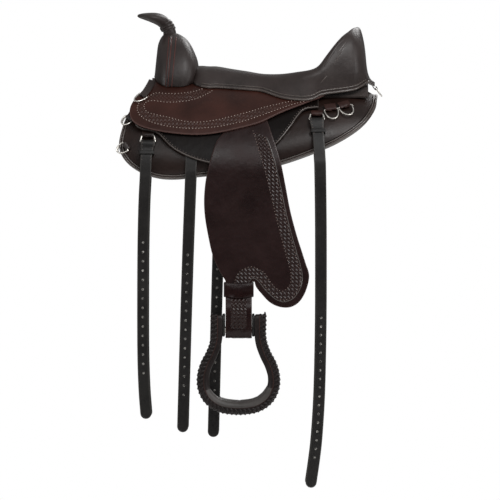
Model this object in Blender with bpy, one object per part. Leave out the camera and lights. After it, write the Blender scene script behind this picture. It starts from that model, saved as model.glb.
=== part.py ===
"""Treeless Western-style saddle, modelled as its separate leather, padded and steel pieces.

Metres, +Z up, +X towards the tail, -Y is the saddle's left side. The origin is on the spine
line, at the top of the curve that the panels bear on. Every layer of leather is a slice of one
barrel-shaped ellipse, set off outwards from it, so the layers lie on each other like the real ones.
"""

import math

import bmesh
import bpy
from mathutils import Matrix, Vector

MM = 0.001

# The barrel that the saddle sits on
BARREL_HALF_WIDTH = 0.178
BARREL_HALF_HEIGHT = 0.190
LATTICE_STEP = math.radians(6.0)

# Layers, from the horse outwards
GAP = 0.0003
PANEL_THICKNESS = 0.0245
GROUND_THICKNESS = 0.0034
FLAP_CLEARANCE = 0.0009
FLAP_THICKNESS = 0.0026
BRIDGE_THICKNESS = 0.0032
JOCKEY_THICKNESS = 0.0040

PANEL_OUT = PANEL_THICKNESS
GROUND_IN = PANEL_OUT + 0.0008
GROUND_OUT = GROUND_IN + GROUND_THICKNESS
FLAP_IN = GROUND_OUT + FLAP_CLEARANCE
FLAP_OUT = FLAP_IN + FLAP_THICKNESS
BRIDGE_IN = FLAP_OUT + GAP
BRIDGE_OUT = BRIDGE_IN + BRIDGE_THICKNESS
JOCKEY_IN = BRIDGE_OUT + GAP
JOCKEY_OUT = JOCKEY_IN + JOCKEY_THICKNESS
SEAT_IN = JOCKEY_OUT + GAP

# Ends of the cutters that seat a piece on the barrel
CUT_FRONT_X = -0.260
CUT_REAR_X = 0.300

# Panels and the channel between them
CHANNEL_ANGLE = math.radians(10.0)
PANEL_TOP_FRONT_X = -0.190
PANEL_TOP_REAR_X = 0.252
RIM_WIDTH = 0.0092
RIM_THICKNESS = 0.0085
RIM_DROP = 0.0075
PANEL_CENTRE_X = -0.030
PANEL_CENTRE_ANGLE = math.radians(46.0)

# Fork, arch and horn
FORK_HALF_WIDTH = 0.094
ARCH_THICKNESS = 0.0050
ARCH_FRONT_X = -0.186
ARCH_LENGTH = 0.060
ARCH_ANGLE = math.radians(18.0)
HORN_POST_RADIUS = 0.0135
HORN_POST_X = -0.1665
HORN_POST_BOTTOM = 0.112
HORN_WRAP_GAP = 0.0008
HORN_WRAP_THICKNESS = 0.0020

# Seat and cantle
GROUND_FRONT_X = -0.198
GROUND_REAR_X = 0.250
CANTLE_STEP_X = 0.180
BOARD_X = 0.2285
BOARD_THICKNESS = 0.0040
BOARD_HALF_WIDTH = 0.060
BOARD_HEIGHT = 0.075

# Fender and stirrup leather
BRIDGE_WIDTH = 0.050
BRIDGE_X = -0.020
FENDER_THICKNESS = 0.0032
FENDER_SLOPE = 0.12
FENDER_BOTTOM = -0.460
HINGE_FRONT_X = -0.067
HINGE_REAR_X = 0.051
HINGE_FRONT_Z = -0.0780
HINGE_REAR_Z = -0.0430
HINGE_HEAD = 0.0014
FENDER_HEAD_DROP = 0.0008
LEATHER_WIDTH = 0.055
LEATHER_THICKNESS = 0.0040
LEATHER_X = -0.0215
LEATHER_TOP = -0.262
HOBBLE_TOP = -0.390
HOBBLE_HEIGHT = 0.030
HOBBLE_BOTTOM = HOBBLE_TOP - HOBBLE_HEIGHT
HOBBLE_THICKNESS = 0.0026
FENDER_TAIL = HOBBLE_TOP - 0.014

# Stirrup
STIRRUP_X = -0.0220
BOLT_Z = -0.490
BOLT_RADIUS = 0.0060
EAR_HALF_SPAN = 0.0450
EAR_THICKNESS = 0.0240
TREAD_HALF_WIDTH = 0.0270
PAD_THICKNESS = 0.0036

# Billets
BILLET_WIDTH = 0.0235
BILLET_THICKNESS = 0.0036
BILLET_FOLD = 0.0024
HOLE_RADIUS = 0.0021
HOLE_PITCH = 0.0195
KEEPER_THICKNESS = 0.0012
KEEPER_HEIGHT = 0.0080

# Dees and rings
DEE_WIRE = 0.0015
TAIL_DEE_WIDTH = 0.0255
TAIL_DEE_HEIGHT = 0.0215
TAIL_TAB_LEG = 0.0078
RING_WIRE = 0.0019
RING_WIDTH = 0.0345
RING_HEIGHT = 0.0150
TAB_THICKNESS = 0.0018


def collection(name):
    made = bpy.data.collections.new(name)
    bpy.context.scene.collection.children.link(made)
    return made


def clear_scene():
    for item in list(bpy.data.objects):
        bpy.data.objects.remove(item, do_unlink=True)


clear_scene()
PARTS = collection("treeless_saddle")
CUTTERS = collection("cutters")


def material(name, colour, roughness, metallic=0.0):
    made = bpy.data.materials.new(name)
    made.use_nodes = True
    shader = made.node_tree.nodes["Principled BSDF"]
    shader.inputs["Base Color"].default_value = (*colour, 1.0)
    shader.inputs["Roughness"].default_value = roughness
    shader.inputs["Metallic"].default_value = metallic
    return made


BLACK_LEATHER = material("black_leather", (0.018, 0.015, 0.014), 0.40)
BROWN_LEATHER = material("brown_leather", (0.040, 0.017, 0.014), 0.42)
STRAP_LEATHER = material("strap_leather", (0.012, 0.011, 0.011), 0.50)
FELT = material("felt", (0.060, 0.055, 0.050), 0.90)
BOARD = material("moulded_board", (0.030, 0.030, 0.032), 0.60)
STEEL = material("polished_steel", (0.70, 0.69, 0.66), 0.22, 1.0)
RUBBER = material("tread_rubber", (0.030, 0.029, 0.028), 0.75)


# Places on the barrel


def half_axes(off):
    return BARREL_HALF_WIDTH + off, BARREL_HALF_HEIGHT + off


def on_angle(x, angle, off):
    """The point of the left side at an angle from the top, off outwards from the barrel."""
    wide, high = half_axes(off)
    return Vector((x, -wide * math.sin(angle), -BARREL_HALF_HEIGHT + high * math.cos(angle)))


def angle_of(z, off):
    high = half_axes(off)[1]
    return math.acos(max(-1.0, min(1.0, (z + BARREL_HALF_HEIGHT) / high)))


def on_height(x, z, off):
    return on_angle(x, angle_of(z, off), off)


def seat_frame(x, z, off, turn=0.0):
    """Axes at a place on the left side: X along the saddle, -Y outwards and Z up the side."""
    angle = angle_of(z, off)
    wide, high = half_axes(off)
    up = Vector((0.0, wide * math.cos(angle), high * math.sin(angle))).normalized()
    along = Vector((1.0, 0.0, 0.0))
    inward = up.cross(along)
    axes = Matrix((along, inward, up)).transposed().to_4x4()
    return Matrix.Translation(on_height(x, z, off)) @ axes @ Matrix.Rotation(turn, 4, "Y")


def smooth(points, steps=4, closed=False):
    """A Catmull-Rom curve through points of any dimension."""
    count = len(points)
    vectors = [Vector(point) for point in points]
    found = []
    for index in range(count if closed else count - 1):
        if closed:
            a, b, c, d = (vectors[(index + step) % count] for step in (-1, 0, 1, 2))
        else:
            b, c = vectors[index], vectors[index + 1]
            a = vectors[index - 1] if index else b * 2 - c
            d = vectors[index + 2] if index + 2 < count else c * 2 - b
        for step in range(steps):
            t = step / steps
            found.append(
                0.5 * ((2 * b) + (c - a) * t + (2 * a - 5 * b + 4 * c - d) * t**2
                       + (3 * b - a - 3 * c + d) * t**3)
            )
    if not closed:
        found.append(vectors[-1])
    return found


def inset(points, distance):
    """A closed flat outline drawn in by a distance."""
    count = len(points)
    area = sum(
        points[i].x * points[(i + 1) % count].y - points[(i + 1) % count].x * points[i].y
        for i in range(count)
    )
    sign = 1.0 if area > 0 else -1.0
    moved = []
    for i in range(count):
        run = (points[(i + 1) % count] - points[i - 1]).normalized()
        moved.append(points[i] + Vector((-run.y, run.x)) * distance * sign)
    return moved


# Building solids


def to_object(name, body, slot, where=PARTS):
    mesh = bpy.data.meshes.new(name)
    bmesh.ops.recalc_face_normals(body, faces=body.faces)
    body.to_mesh(mesh)
    body.free()
    mesh.materials.append(slot)
    made = bpy.data.objects.new(name, mesh)
    where.objects.link(made)
    return made


def loft(name, rings, slot, where=PARTS, ring_closes=False):
    """A solid through rings of points. The last ring joins the first one where ring_closes is set."""
    body = bmesh.new()
    loops = [[body.verts.new(point) for point in ring] for ring in rings]
    pairs = list(zip(loops, loops[1:]))
    if ring_closes:
        pairs.append((loops[-1], loops[0]))
    else:
        body.faces.new(loops[0])
        body.faces.new(loops[-1])
    count = len(rings[0])
    for first, second in pairs:
        for i in range(count):
            after = (i + 1) % count
            body.faces.new((first[i], first[after], second[after], second[i]))
    return to_object(name, body, slot, where)


def evaluated_mesh(item):
    graph = bpy.context.evaluated_depsgraph_get()
    return bpy.data.meshes.new_from_object(item.evaluated_get(graph))


def settle(item):
    """The object with its modifiers made part of its mesh."""
    mesh = evaluated_mesh(item)
    item.modifiers.clear()
    item.data = mesh
    return item


def cut(item, cutter, operation="DIFFERENCE"):
    bpy.context.view_layer.update()
    cutter.hide_render = True
    cutter.display_type = "WIRE"
    step = item.modifiers.new(operation.lower(), "BOOLEAN")
    step.operation = operation
    step.solver = "EXACT"
    step.object = cutter
    settle(item)
    bpy.data.objects.remove(cutter, do_unlink=True)
    return item


def curve_object(name, points, radius, slot, closed, sides=1, where=PARTS):
    """A round wire along points, as a closed mesh."""
    line = bpy.data.curves.new(name, "CURVE")
    line.dimensions = "3D"
    line.bevel_depth = radius
    line.bevel_resolution = sides
    line.use_fill_caps = True
    spline = line.splines.new("POLY")
    spline.points.add(len(points) - 1)
    for spot, point in zip(spline.points, points):
        spot.co = (*point, 1.0)
    spline.use_cyclic_u = closed
    drawn = bpy.data.objects.new(name + "_line", line)
    where.objects.link(drawn)
    bpy.context.view_layer.update()
    body = bmesh.new()
    body.from_mesh(evaluated_mesh(drawn))
    bmesh.ops.remove_doubles(body, verts=body.verts, dist=1e-6)
    bpy.data.objects.remove(drawn, do_unlink=True)
    return to_object(name, body, slot, where)


def side_block(name, outline, near=0.400, far=0.002):
    """A side-view outline (x, z) run through the saddle's left side, for cutting layers to shape."""
    flat = bpy.data.curves.new(name, "CURVE")
    flat.dimensions = "2D"
    flat.fill_mode = "BOTH"
    flat.extrude = (near - far) / 2
    spline = flat.splines.new("POLY")
    spline.points.add(len(outline) - 1)
    for spot, point in zip(spline.points, outline):
        spot.co = (point[0], point[1], 0.0, 1.0)
    spline.use_cyclic_u = True
    drawn = bpy.data.objects.new(name + "_flat", flat)
    CUTTERS.objects.link(drawn)
    bpy.context.view_layer.update()
    body = bmesh.new()
    body.from_mesh(evaluated_mesh(drawn))
    bmesh.ops.remove_doubles(body, verts=body.verts, dist=1e-6)
    place = Matrix.Translation((0.0, -(near + far) / 2, 0.0)) @ Matrix.Rotation(math.pi / 2, 4, "X")
    bmesh.ops.transform(body, matrix=place, verts=body.verts)
    bpy.data.objects.remove(drawn, do_unlink=True)
    return to_object(name, body, BLACK_LEATHER, CUTTERS)


def slab(name, x_from, x_to, angle_from, angle_to, inner, outer, slot, where=PARTS):
    """A slice of the barrel's skin, on the same lattice of angles as every other layer."""
    first = math.ceil(angle_from / LATTICE_STEP - 1e-6)
    last = math.floor(angle_to / LATTICE_STEP + 1e-6)
    angles = [step * LATTICE_STEP for step in range(first, last + 1)]
    rings = []
    for x in (x_from, x_to):
        rings.append(
            [on_angle(x, angle, outer) for angle in angles]
            + [on_angle(x, angle, inner) for angle in reversed(angles)]
        )
    return loft(name, rings, slot, where)


def barrel_cutter(name, off, x_from, x_to):
    """The whole barrel up to a layer, to seat a piece on that layer."""
    count = round(2 * math.pi / LATTICE_STEP)
    rings = [[on_angle(x, i * LATTICE_STEP, off) for i in range(count)] for x in (x_from, x_to)]
    return loft(name, rings, BLACK_LEATHER, CUTTERS)


def box_ring(across, thick, bevel=0.25):
    """The corners of a strap's section: half sizes across it and through it, with eased edges."""
    ease = thick * bevel
    return [
        (-across, -thick + ease), (-across + ease, -thick), (across - ease, -thick),
        (across, -thick + ease), (across, thick - ease), (across - ease, thick),
        (-across + ease, thick), (-across, thick - ease),
    ]


def strap(name, path, widths, thicknesses, slot, across=Vector((1.0, 0.0, 0.0)), plain=False, where=PARTS):
    """A flat strap along a path, with its width and thickness at each point."""
    rings = []
    for i, point in enumerate(path):
        run = (path[min(i + 1, len(path) - 1)] - path[max(i - 1, 0)]).normalized()
        side = (across - run * across.dot(run)).normalized()
        through = run.cross(side)
        half_width, half_thick = widths[i] / 2, thicknesses[i] / 2
        if plain:
            section = [(-half_width, -half_thick), (half_width, -half_thick),
                       (half_width, half_thick), (-half_width, half_thick)]
        else:
            section = box_ring(half_width, half_thick)
        rings.append([point + side * u + through * v for u, v in section])
    return loft(name, rings, slot, where)


def mirrored(item, name):
    """The right-hand twin of a left-hand piece."""
    body = bmesh.new()
    body.from_mesh(item.data)
    bmesh.ops.transform(body, matrix=item.matrix_world, verts=body.verts)
    bmesh.ops.scale(body, vec=(1.0, -1.0, 1.0), verts=body.verts)
    return to_object(name, body, item.data.materials[0])


def set_origin(item, point):
    """The object's origin on its joint's axis, with its solid where it was."""
    item.data.transform(Matrix.Translation(-Vector(point)))
    item.location = point


def pair(left, pivot=None):
    """The right-hand piece of a left-hand one whose name ends in _left, and both origins."""
    right = mirrored(left, left.name.replace("_left", "_right"))
    if pivot is not None:
        set_origin(left, pivot)
        set_origin(right, Vector((pivot[0], -pivot[1], pivot[2])))
    return left, right


def millimetres(points):
    return [Vector([value * MM for value in point]) for point in points]


# Panels: the padded bearers with their bound double rim

PANEL_OUTLINE = millimetres([
    (-204, 15), (-229, 3), (-249, -22), (-264, -56), (-272, -100), (-258, -133), (-229, -157),
    (-190, -171), (-150, -173), (-110, -168), (-60, -163), (0, -156), (69, -140), (136, -115),
    (195, -86), (240, -52), (264, -16), (269, 12),
])


def panel_plan():
    """The panel's outline as x and girth along the barrel, from the front round to the rear."""
    wide, high = half_axes(PANEL_OUT)
    girth = (wide + high) / 2
    low = [Vector((p.x, angle_of(p.y, PANEL_OUT) * girth)) for p in PANEL_OUTLINE]
    low = smooth(low, 2)
    edge = CHANNEL_ANGLE * girth
    ends = Vector((PANEL_TOP_REAR_X, edge)), Vector((PANEL_TOP_FRONT_X, edge))
    top = [ends[0].lerp(ends[1], step / 3) for step in range(4)]
    return low, top, girth


def panel(side_name):
    low, top, girth = panel_plan()
    outline = inset(low + top, RIM_WIDTH + GAP)
    centre = Vector((PANEL_CENTRE_X, PANEL_CENTRE_ANGLE * girth))
    steps = (0.45, 0.72, 0.88, 0.96, 1.0)
    body = bmesh.new()
    layers = []
    for low_face in (False, True):
        rows = []
        for t in steps:
            drop = RIM_DROP * max(0.0, (t - 0.72) / 0.28) ** 2
            rise = (PANEL_THICKNESS - RIM_DROP - RIM_THICKNESS) * max(0.0, (t - 0.72) / 0.28) ** 2
            off = rise if low_face else PANEL_OUT - drop
            row = []
            for spot in outline:
                place = centre + (spot - centre) * t
                row.append(body.verts.new(on_angle(place.x, place.y / girth, off)))
            rows.append(row)
        middle = body.verts.new(on_angle(centre.x, centre.y / girth, 0.0 if low_face else PANEL_OUT))
        layers.append((rows, middle))
    count = len(outline)
    for rows, middle in layers:
        for i in range(count):
            after = (i + 1) % count
            body.faces.new((middle, rows[0][i], rows[0][after]))
            for near, far in zip(rows, rows[1:]):
                body.faces.new((near[i], far[i], far[after], near[after]))
    for i in range(count):
        after = (i + 1) % count
        upper, lower = layers[0][0][-1], layers[1][0][-1]
        body.faces.new((upper[i], lower[i], lower[after], upper[after]))
    return to_object("panel" + side_name, body, BLACK_LEATHER)


def panel_binding(side_name):
    """Two parallel rolls of binding leather round the panel's free edge."""
    low, top, girth = panel_plan()
    middle = inset(low + top, RIM_WIDTH / 2)[: len(low)]
    base = PANEL_OUT - RIM_DROP - RIM_THICKNESS
    half, mid = RIM_WIDTH / 2, RIM_WIDTH / 4
    section = [
        (-half, 0.0), (half, 0.0), (half, RIM_THICKNESS * 0.7), (mid, RIM_THICKNESS),
        (0.0, RIM_THICKNESS * 0.72), (-mid, RIM_THICKNESS), (-half, RIM_THICKNESS * 0.7),
    ]
    rings = []
    for i, spot in enumerate(middle):
        run = (middle[min(i + 1, len(middle) - 1)] - middle[max(i - 1, 0)]).normalized()
        side = Vector((-run.y, run.x))
        ring = []
        for across, height in section:
            place = spot + side * across
            ring.append(on_angle(place.x, place.y / girth, base + height))
        rings.append(ring)
    return loft("panel_binding" + side_name, rings, BLACK_LEATHER)


# Flap and jockey: curved leather cut to the side-view outline

FLAP_EDGE = millimetres([
    (-205, -38), (-232, -50), (-238, -61), (-225, -70), (-206, -74), (-190, -80), (-168, -103),
    (-145, -119), (-110, -134), (-70, -143), (-30, -145), (10, -133), (54, -104), (84, -69),
    (103, -42), (118, -28), (146, -24),
])
JOCKEY_EDGE = millimetres([
    (-203, 22), (-214, 12), (-232, 2), (-246, -16), (-250, -34), (-245, -50), (-229, -62),
    (-200, -71), (-155, -78), (-109, -81), (-67, -77), (-24, -68), (23, -55), (67, -34),
    (110, -17), (146, -3), (162, 5),
])
OVER_THE_TOP = 0.090


def skirt(name, edge, inner, outer, slot, step=3):
    curve = smooth(edge, step)
    outline = curve + [
        Vector((curve[-1].x, OVER_THE_TOP)),
        Vector((curve[0].x, OVER_THE_TOP)),
    ]
    xs = [point.x for point in curve]
    sheet = slab(name, min(xs) - 0.01, max(xs) + 0.01, math.radians(6), math.radians(96),
                 inner, outer, slot)
    return cut(sheet, side_block(name + "_outline", outline), "INTERSECT")


# Ground seat, stirrup bridge, pommel arch


def ground_seat():
    span = 5 * LATTICE_STEP
    return slab("ground_seat", GROUND_FRONT_X, GROUND_REAR_X, -span, span, GROUND_IN, GROUND_OUT, FELT)


def hinge_line():
    """The two ends of the line that the left fender bends along, under the jockey's lower edge."""
    front = on_height(HINGE_FRONT_X, HINGE_FRONT_Z, JOCKEY_OUT + GAP)
    rear = on_height(HINGE_REAR_X, HINGE_REAR_Z, JOCKEY_OUT + GAP)
    return front, rear


def head_line(low_x, high_x, drop):
    """The jockey's lower edge between two places, lowered a little, from front to rear."""
    edge = [point for point in smooth(JOCKEY_EDGE, 3)[12:] if low_x < point.x < high_x]
    return [Vector((point.x, point.y - drop)) for point in edge]


def stirrup_bridge():
    """The strap across the ground seat, cut off on each side along the fender's hinge line."""
    low, high = BRIDGE_X - BRIDGE_WIDTH / 2, BRIDGE_X + BRIDGE_WIDTH / 2
    span = 12 * LATTICE_STEP
    sheet = slab("stirrup_bridge", low, high, -span, span, BRIDGE_IN, BRIDGE_OUT, STRAP_LEATHER)
    edge = head_line(low - 0.03, high + 0.03, -0.0035)
    for side in (1.0, -1.0):
        below = edge + [Vector((edge[-1].x, -0.3)), Vector((edge[0].x, -0.3))]
        block = side_block("below_hinge", below, 0.300, 0.050)
        if side < 0:
            for vertex in block.data.vertices:
                vertex.co.y *= -1.0
            block.data.flip_normals()
        cut(sheet, block)
    return sheet


def pommel_arch(grow=0.0, name="pommel_arch", where=PARTS):
    steps = round(ARCH_ANGLE / LATTICE_STEP)
    extra = grow / BARREL_HALF_WIDTH
    angles = [step * LATTICE_STEP for step in range(-steps, steps + 1)]
    angles[0] -= extra
    angles[-1] += extra
    low = SEAT_IN - (0.01 if grow else 0.0)
    high = SEAT_IN + ARCH_THICKNESS + grow
    rings = []
    for x in (ARCH_FRONT_X - grow, ARCH_FRONT_X + ARCH_LENGTH + grow):
        rings.append([on_angle(x, a, high) for a in angles] + [on_angle(x, a, low) for a in reversed(angles)])
    return loft(name, rings, BOARD, where)


# Fork: horizontal sections of the padded swell

FORK_SECTIONS = [
    # height, front x, back x, share of the half width
    (-20, -198, -112, 1.00), (15, -198, -112, 1.00), (34, -199, -107, 1.00), (56, -197, -105, 0.955),
    (76, -195, -108, 0.87), (94, -193, -115, 0.74), (108, -191, -122, 0.60), (119, -187, -130, 0.44),
    (127, -182, -140, 0.28), (132, -177, -150, 0.15),
]
FORK_SIDES = 24


def fork_solid(name, grow=0.0, where=PARTS):
    rings = []
    for height, front, back, share in FORK_SECTIONS:
        middle, half_long = (front + back) / 2 * MM, (back - front) / 2 * MM + grow
        half_wide = FORK_HALF_WIDTH * share + grow
        ring = []
        for i in range(FORK_SIDES):
            turn = 2 * math.pi * i / FORK_SIDES
            c, s = math.cos(turn), math.sin(turn)
            ring.append(Vector((
                middle + half_long * math.copysign(abs(c) ** 0.8, c),
                half_wide * math.copysign(abs(s) ** 0.8, s),
                height * MM + (grow if height > 100 else 0.0),
            )))
        rings.append(ring)
    return loft(name, rings, BLACK_LEATHER, where)


def post_cutter():
    body = bmesh.new()
    bmesh.ops.create_cone(
        body, cap_ends=True, segments=16, radius1=HORN_POST_RADIUS + GAP,
        radius2=HORN_POST_RADIUS + GAP, depth=0.060,
        matrix=Matrix.Translation((HORN_POST_X, 0.0, HORN_POST_BOTTOM - GAP + 0.030)),
    )
    return to_object("horn_socket", body, BLACK_LEATHER, CUTTERS)


def fork_cover():
    fork = fork_solid("fork_cover")
    cut(fork, barrel_cutter("fork_seat", SEAT_IN, CUT_FRONT_X, 0.0))
    cut(fork, pommel_arch(GAP, "arch_pocket", CUTTERS))
    return cut(fork, post_cutter())


# Horn: a loft from the round post into the wide, thin, forward-leaning cap

HORN_SECTIONS = [
    # x, z, lean from upright in degrees, half thickness, half width
    (-166.5, 112, 0, 13.5, 13.5), (-166.5, 132.8, 0, 13.5, 13.5), (-168.4, 139, 15, 13.4, 13.8),
    (-171.8, 145.5, 28, 12.8, 14.6), (-176.8, 152.5, 42, 12.8, 19.0), (-185, 159.5, 60, 13.0, 27.0),
    (-196, 163.8, 74, 11.8, 32.0), (-208, 166.3, 80, 9.6, 33.0), (-220, 168.0, 82, 7.0, 28.5),
    (-229, 168.8, 84, 4.6, 20.0), (-233.5, 169.2, 84, 2.4, 11.0),
]
HORN_SIDES = 16


def horn_ring(x, z, lean, thick, wide, grow=0.0):
    tilt = math.radians(lean)
    through = Vector((math.cos(tilt), 0.0, math.sin(tilt)))
    ring = []
    for i in range(HORN_SIDES):
        turn = 2 * math.pi * i / HORN_SIDES
        ring.append(
            Vector((x * MM, 0.0, z * MM))
            + through * (thick * MM + grow) * math.cos(turn)
            + Vector((0.0, 1.0, 0.0)) * (wide * MM + grow) * math.sin(turn)
        )
    return ring


def horn():
    return loft("horn", [horn_ring(*section) for section in HORN_SECTIONS], BLACK_LEATHER)


def horn_wrap():
    """The folded leather collar round the neck, open at the top and bottom."""
    sections = HORN_SECTIONS[2:5]
    outer = [horn_ring(*section, HORN_WRAP_GAP + HORN_WRAP_THICKNESS) for section in sections]
    inner = [horn_ring(*section, HORN_WRAP_GAP) for section in reversed(sections)]
    return loft("horn_wrap", outer + inner, BLACK_LEATHER, ring_closes=True)


# Seat and cantle: one padded piece, from cross-sections along the saddle

SEAT_SECTIONS = [
    # x, lower edge z, side (y, z), shoulder (y, z), rim (y, z), dish (y, z), centre z
    (-119, 19, 82, 42, 62, 58, 40, 63, 20, 65, 65),
    (-106, 19, 82, 42, 60, 57, 40, 62, 20, 64, 64),
    (-61, 17, 86, 40, 66, 56, 44, 60, 22, 62, 62),
    (-8, 13, 93, 34, 76, 48, 54, 53, 28, 52, 51),
    (29, 9, 103, 28, 90, 42, 66, 47, 34, 45, 44),
    (67, -4, 121, 22, 110, 38, 86, 46.5, 44, 42, 40),
    (104, -9, 132, 22, 126, 42, 106, 51, 56, 43, 40),
    (130, -8, 133, 26, 130, 46, 112, 55.5, 60, 46, 43),
    (146, 0, 130, 32, 128, 52, 112, 64, 64, 52, 47),
    (162, 4, 126, 38, 123, 66, 108, 85, 66, 64, 56),
    (178, 6, 120, 42, 116, 80, 100, 106, 66, 80, 70),
    (194, 8, 116, 46, 110, 94, 89, 124, 62, 104, 92),
    (208, 10, 113, 50, 103, 106, 76, 135, 50, 122, 114),
    (218, 12, 111, 52, 97, 112, 62, 141, 36, 138, 134),
    (226, 15, 107, 54, 90, 112, 52, 140, 28, 145, 145),
    (234, 19, 99, 52, 82, 106, 46, 134, 24, 140, 141),
    (240, 23, 90, 50, 74, 92, 42, 115, 22, 120, 121),
    (244, 26, 82, 46, 66, 76, 38, 92, 20, 96, 97),
    (248, 28, 74, 38, 58, 50, 34, 56, 18, 58, 58),
    (254, 30, 60, 33, 46, 36, 28, 38, 15, 38, 38),
    (264, 25, 22, 27, 18, 28.5, 12, 29, 6, 29.5, 30),
]
SEAT_EDGE_OVERHANG = 0.0015


def seat():
    rings = []
    for x, edge, side_y, side_z, neck_y, neck_z, rim_y, rim_z, dish_y, dish_z, mid in SEAT_SECTIONS:
        foot = on_height(0.0, edge * MM, SEAT_IN)
        half = [
            Vector((x, foot.y * 0.90 / MM, edge - 7)),
            Vector((x, (foot.y - SEAT_EDGE_OVERHANG) / MM, edge)),
            Vector((x, (foot.y - SEAT_EDGE_OVERHANG) / MM, edge + 5)),
            Vector((x, -side_y, side_z)),
            Vector((x, -neck_y, neck_z)),
            Vector((x, -rim_y, rim_z)),
            Vector((x, -dish_y, dish_z)),
        ]
        if x > 250:
            half[0].y, half[1].y, half[2].y = -side_y * 0.9, -side_y, -side_y
            half[0].z, half[1].z, half[2].z = edge - 4.5, edge - 4, edge - 2
        ring = half + [Vector((x, 0.0, mid))]
        ring += [Vector((x, -point.y, point.z)) for point in reversed(half)]
        ring.append(Vector((x, 0.0, edge - 20 if x < 250 else edge - 4.5)))
        rings.append([point * MM for point in ring])
    made = loft("seat", rings, BLACK_LEATHER)
    cut(made, barrel_cutter("seat_on_jockey", SEAT_IN, CUT_FRONT_X, CANTLE_STEP_X))
    cut(made, barrel_cutter("seat_on_ground", GROUND_OUT + GAP, CANTLE_STEP_X - 0.001, GROUND_REAR_X + GAP))
    cut(made, fork_solid("fork_room", 0.0006, CUTTERS))
    return cut(made, cantle_board(GAP, "board_slot", CUTTERS))


def cantle_board(grow=0.0, name="cantle_board", where=PARTS):
    """The stiff board that stands inside the cantle, on the ground seat."""
    bottom = half_axes(GROUND_OUT + GAP)[1] - BARREL_HALF_HEIGHT
    count = 10
    outline = [(-BOARD_HALF_WIDTH * 0.55, 0.0)]
    for i in range(count + 1):
        turn = math.pi - math.pi * i / count
        outline.append((BOARD_HALF_WIDTH * math.cos(turn),
                        BOARD_HEIGHT * 0.35 + BOARD_HEIGHT * 0.65 * math.sin(turn)))
    outline.append((BOARD_HALF_WIDTH * 0.55, 0.0))
    half = BOARD_THICKNESS / 2 + grow
    rings = []
    for x in (BOARD_X - half, BOARD_X + half):
        ring = []
        for y, z in outline:
            wide = y * (1 + grow / BOARD_HALF_WIDTH)
            tall = z * (1 + grow / BOARD_HEIGHT) if z > 0 else (-0.02 if grow else 0.0)
            ring.append(Vector((x, wide, bottom + tall)))
        rings.append(ring)
    made = loft(name, rings, BOARD, where)
    if not grow:
        cut(made, barrel_cutter("board_seat", GROUND_OUT + GAP, CANTLE_STEP_X, CUT_REAR_X))
    return made


# Fender, stirrup leather and hobble strap


def fender_turn_angle():
    """The angle round the barrel where the fender leaves it and hangs straight."""
    wide, high = half_axes(BRIDGE_OUT)
    return math.atan(wide / (high * FENDER_SLOPE))


def fender_out(z):
    """The distance of the fender's outer face from the middle plane, on its straight part."""
    leaves = on_angle(0.0, fender_turn_angle(), BRIDGE_OUT)
    return -leaves.y + (leaves.z - z) * FENDER_SLOPE


def fender_in(z):
    return fender_out(z) - FENDER_THICKNESS


FENDER_OUTLINE = millimetres([
    (-67, -93), (-76, -116), (-84, -147), (-91, -180), (-94, -218), (-92, -254), (-85, -295),
    (-76, -334), (-63, -364), (-49, -387),
])
FENDER_LOBE = millimetres([
    (11.5, -389), (15, -400), (26, -414), (41, -430), (56, -439), (73, -443), (90, -441), (106, -430),
    (118, -410), (125, -386), (125, -370), (119, -352), (111, -327), (99, -289), (86, -239),
    (76, -186), (67, -141), (58, -109), (51, -88),
])


def above_the_bend():
    """A block that squares off the fender's head, so that it clears the flap as it swings."""
    front, rear = hinge_line()
    middle = (front + rear) / 2
    along = (rear - front).normalized()
    outward = seat_frame(middle.x, middle.z, JOCKEY_OUT).to_3x3().col[1]
    outward = (outward - along * along.dot(outward)).normalized()
    up = along.cross(outward)
    axes = Matrix((along, outward, up)).transposed().to_4x4()
    body = bmesh.new()
    bmesh.ops.create_cube(body, size=1.0)
    bmesh.ops.scale(body, vec=(0.20, 0.05, 0.05), verts=body.verts)
    bmesh.ops.translate(body, vec=(0.0, 0.0, HINGE_HEAD + 0.025), verts=body.verts)
    bmesh.ops.transform(body, matrix=Matrix.Translation(middle) @ axes, verts=body.verts)
    return to_object("above_the_bend", body, BROWN_LEATHER, CUTTERS)


def fender(side_name):
    leave = fender_turn_angle()
    angles = [step * LATTICE_STEP for step in range(7, 30) if step * LATTICE_STEP < leave - 0.02]
    outer = [on_angle(0.0, angle, BRIDGE_OUT) for angle in angles + [leave]]
    inner = [on_angle(0.0, angle, BRIDGE_OUT - FENDER_THICKNESS) for angle in angles + [leave]]
    outer.append(Vector((0.0, -fender_out(FENDER_BOTTOM), FENDER_BOTTOM)))
    inner.append(Vector((0.0, -fender_in(FENDER_BOTTOM), FENDER_BOTTOM)))
    neck = [
        Vector((LEATHER_X - LEATHER_WIDTH / 2 + 0.002, FENDER_TAIL)),
        Vector((LEATHER_X + LEATHER_WIDTH / 2 - 0.002, FENDER_TAIL)),
        Vector((LEATHER_X + LEATHER_WIDTH / 2 - 0.002, HOBBLE_TOP + 0.001)),
    ]
    head = head_line(HINGE_FRONT_X + 0.005, HINGE_REAR_X - 0.003, FENDER_HEAD_DROP)
    outline = smooth(FENDER_OUTLINE, 2) + neck + smooth(FENDER_LOBE, 2) + head[::-1]
    xs = [point.x for point in outline]
    rings = []
    for x in (min(xs) - 0.01, max(xs) + 0.01):
        rings.append([p + Vector((x, 0.0, 0.0)) for p in outer + inner[::-1]])
    sheet = loft("fender" + side_name, rings, BROWN_LEATHER)
    cut(sheet, side_block("fender_outline", outline), "INTERSECT")
    return cut(sheet, above_the_bend())


def bolt_centre():
    return Vector((STIRRUP_X, -(fender_in(BOLT_Z) - 0.0045), BOLT_Z))


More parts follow.
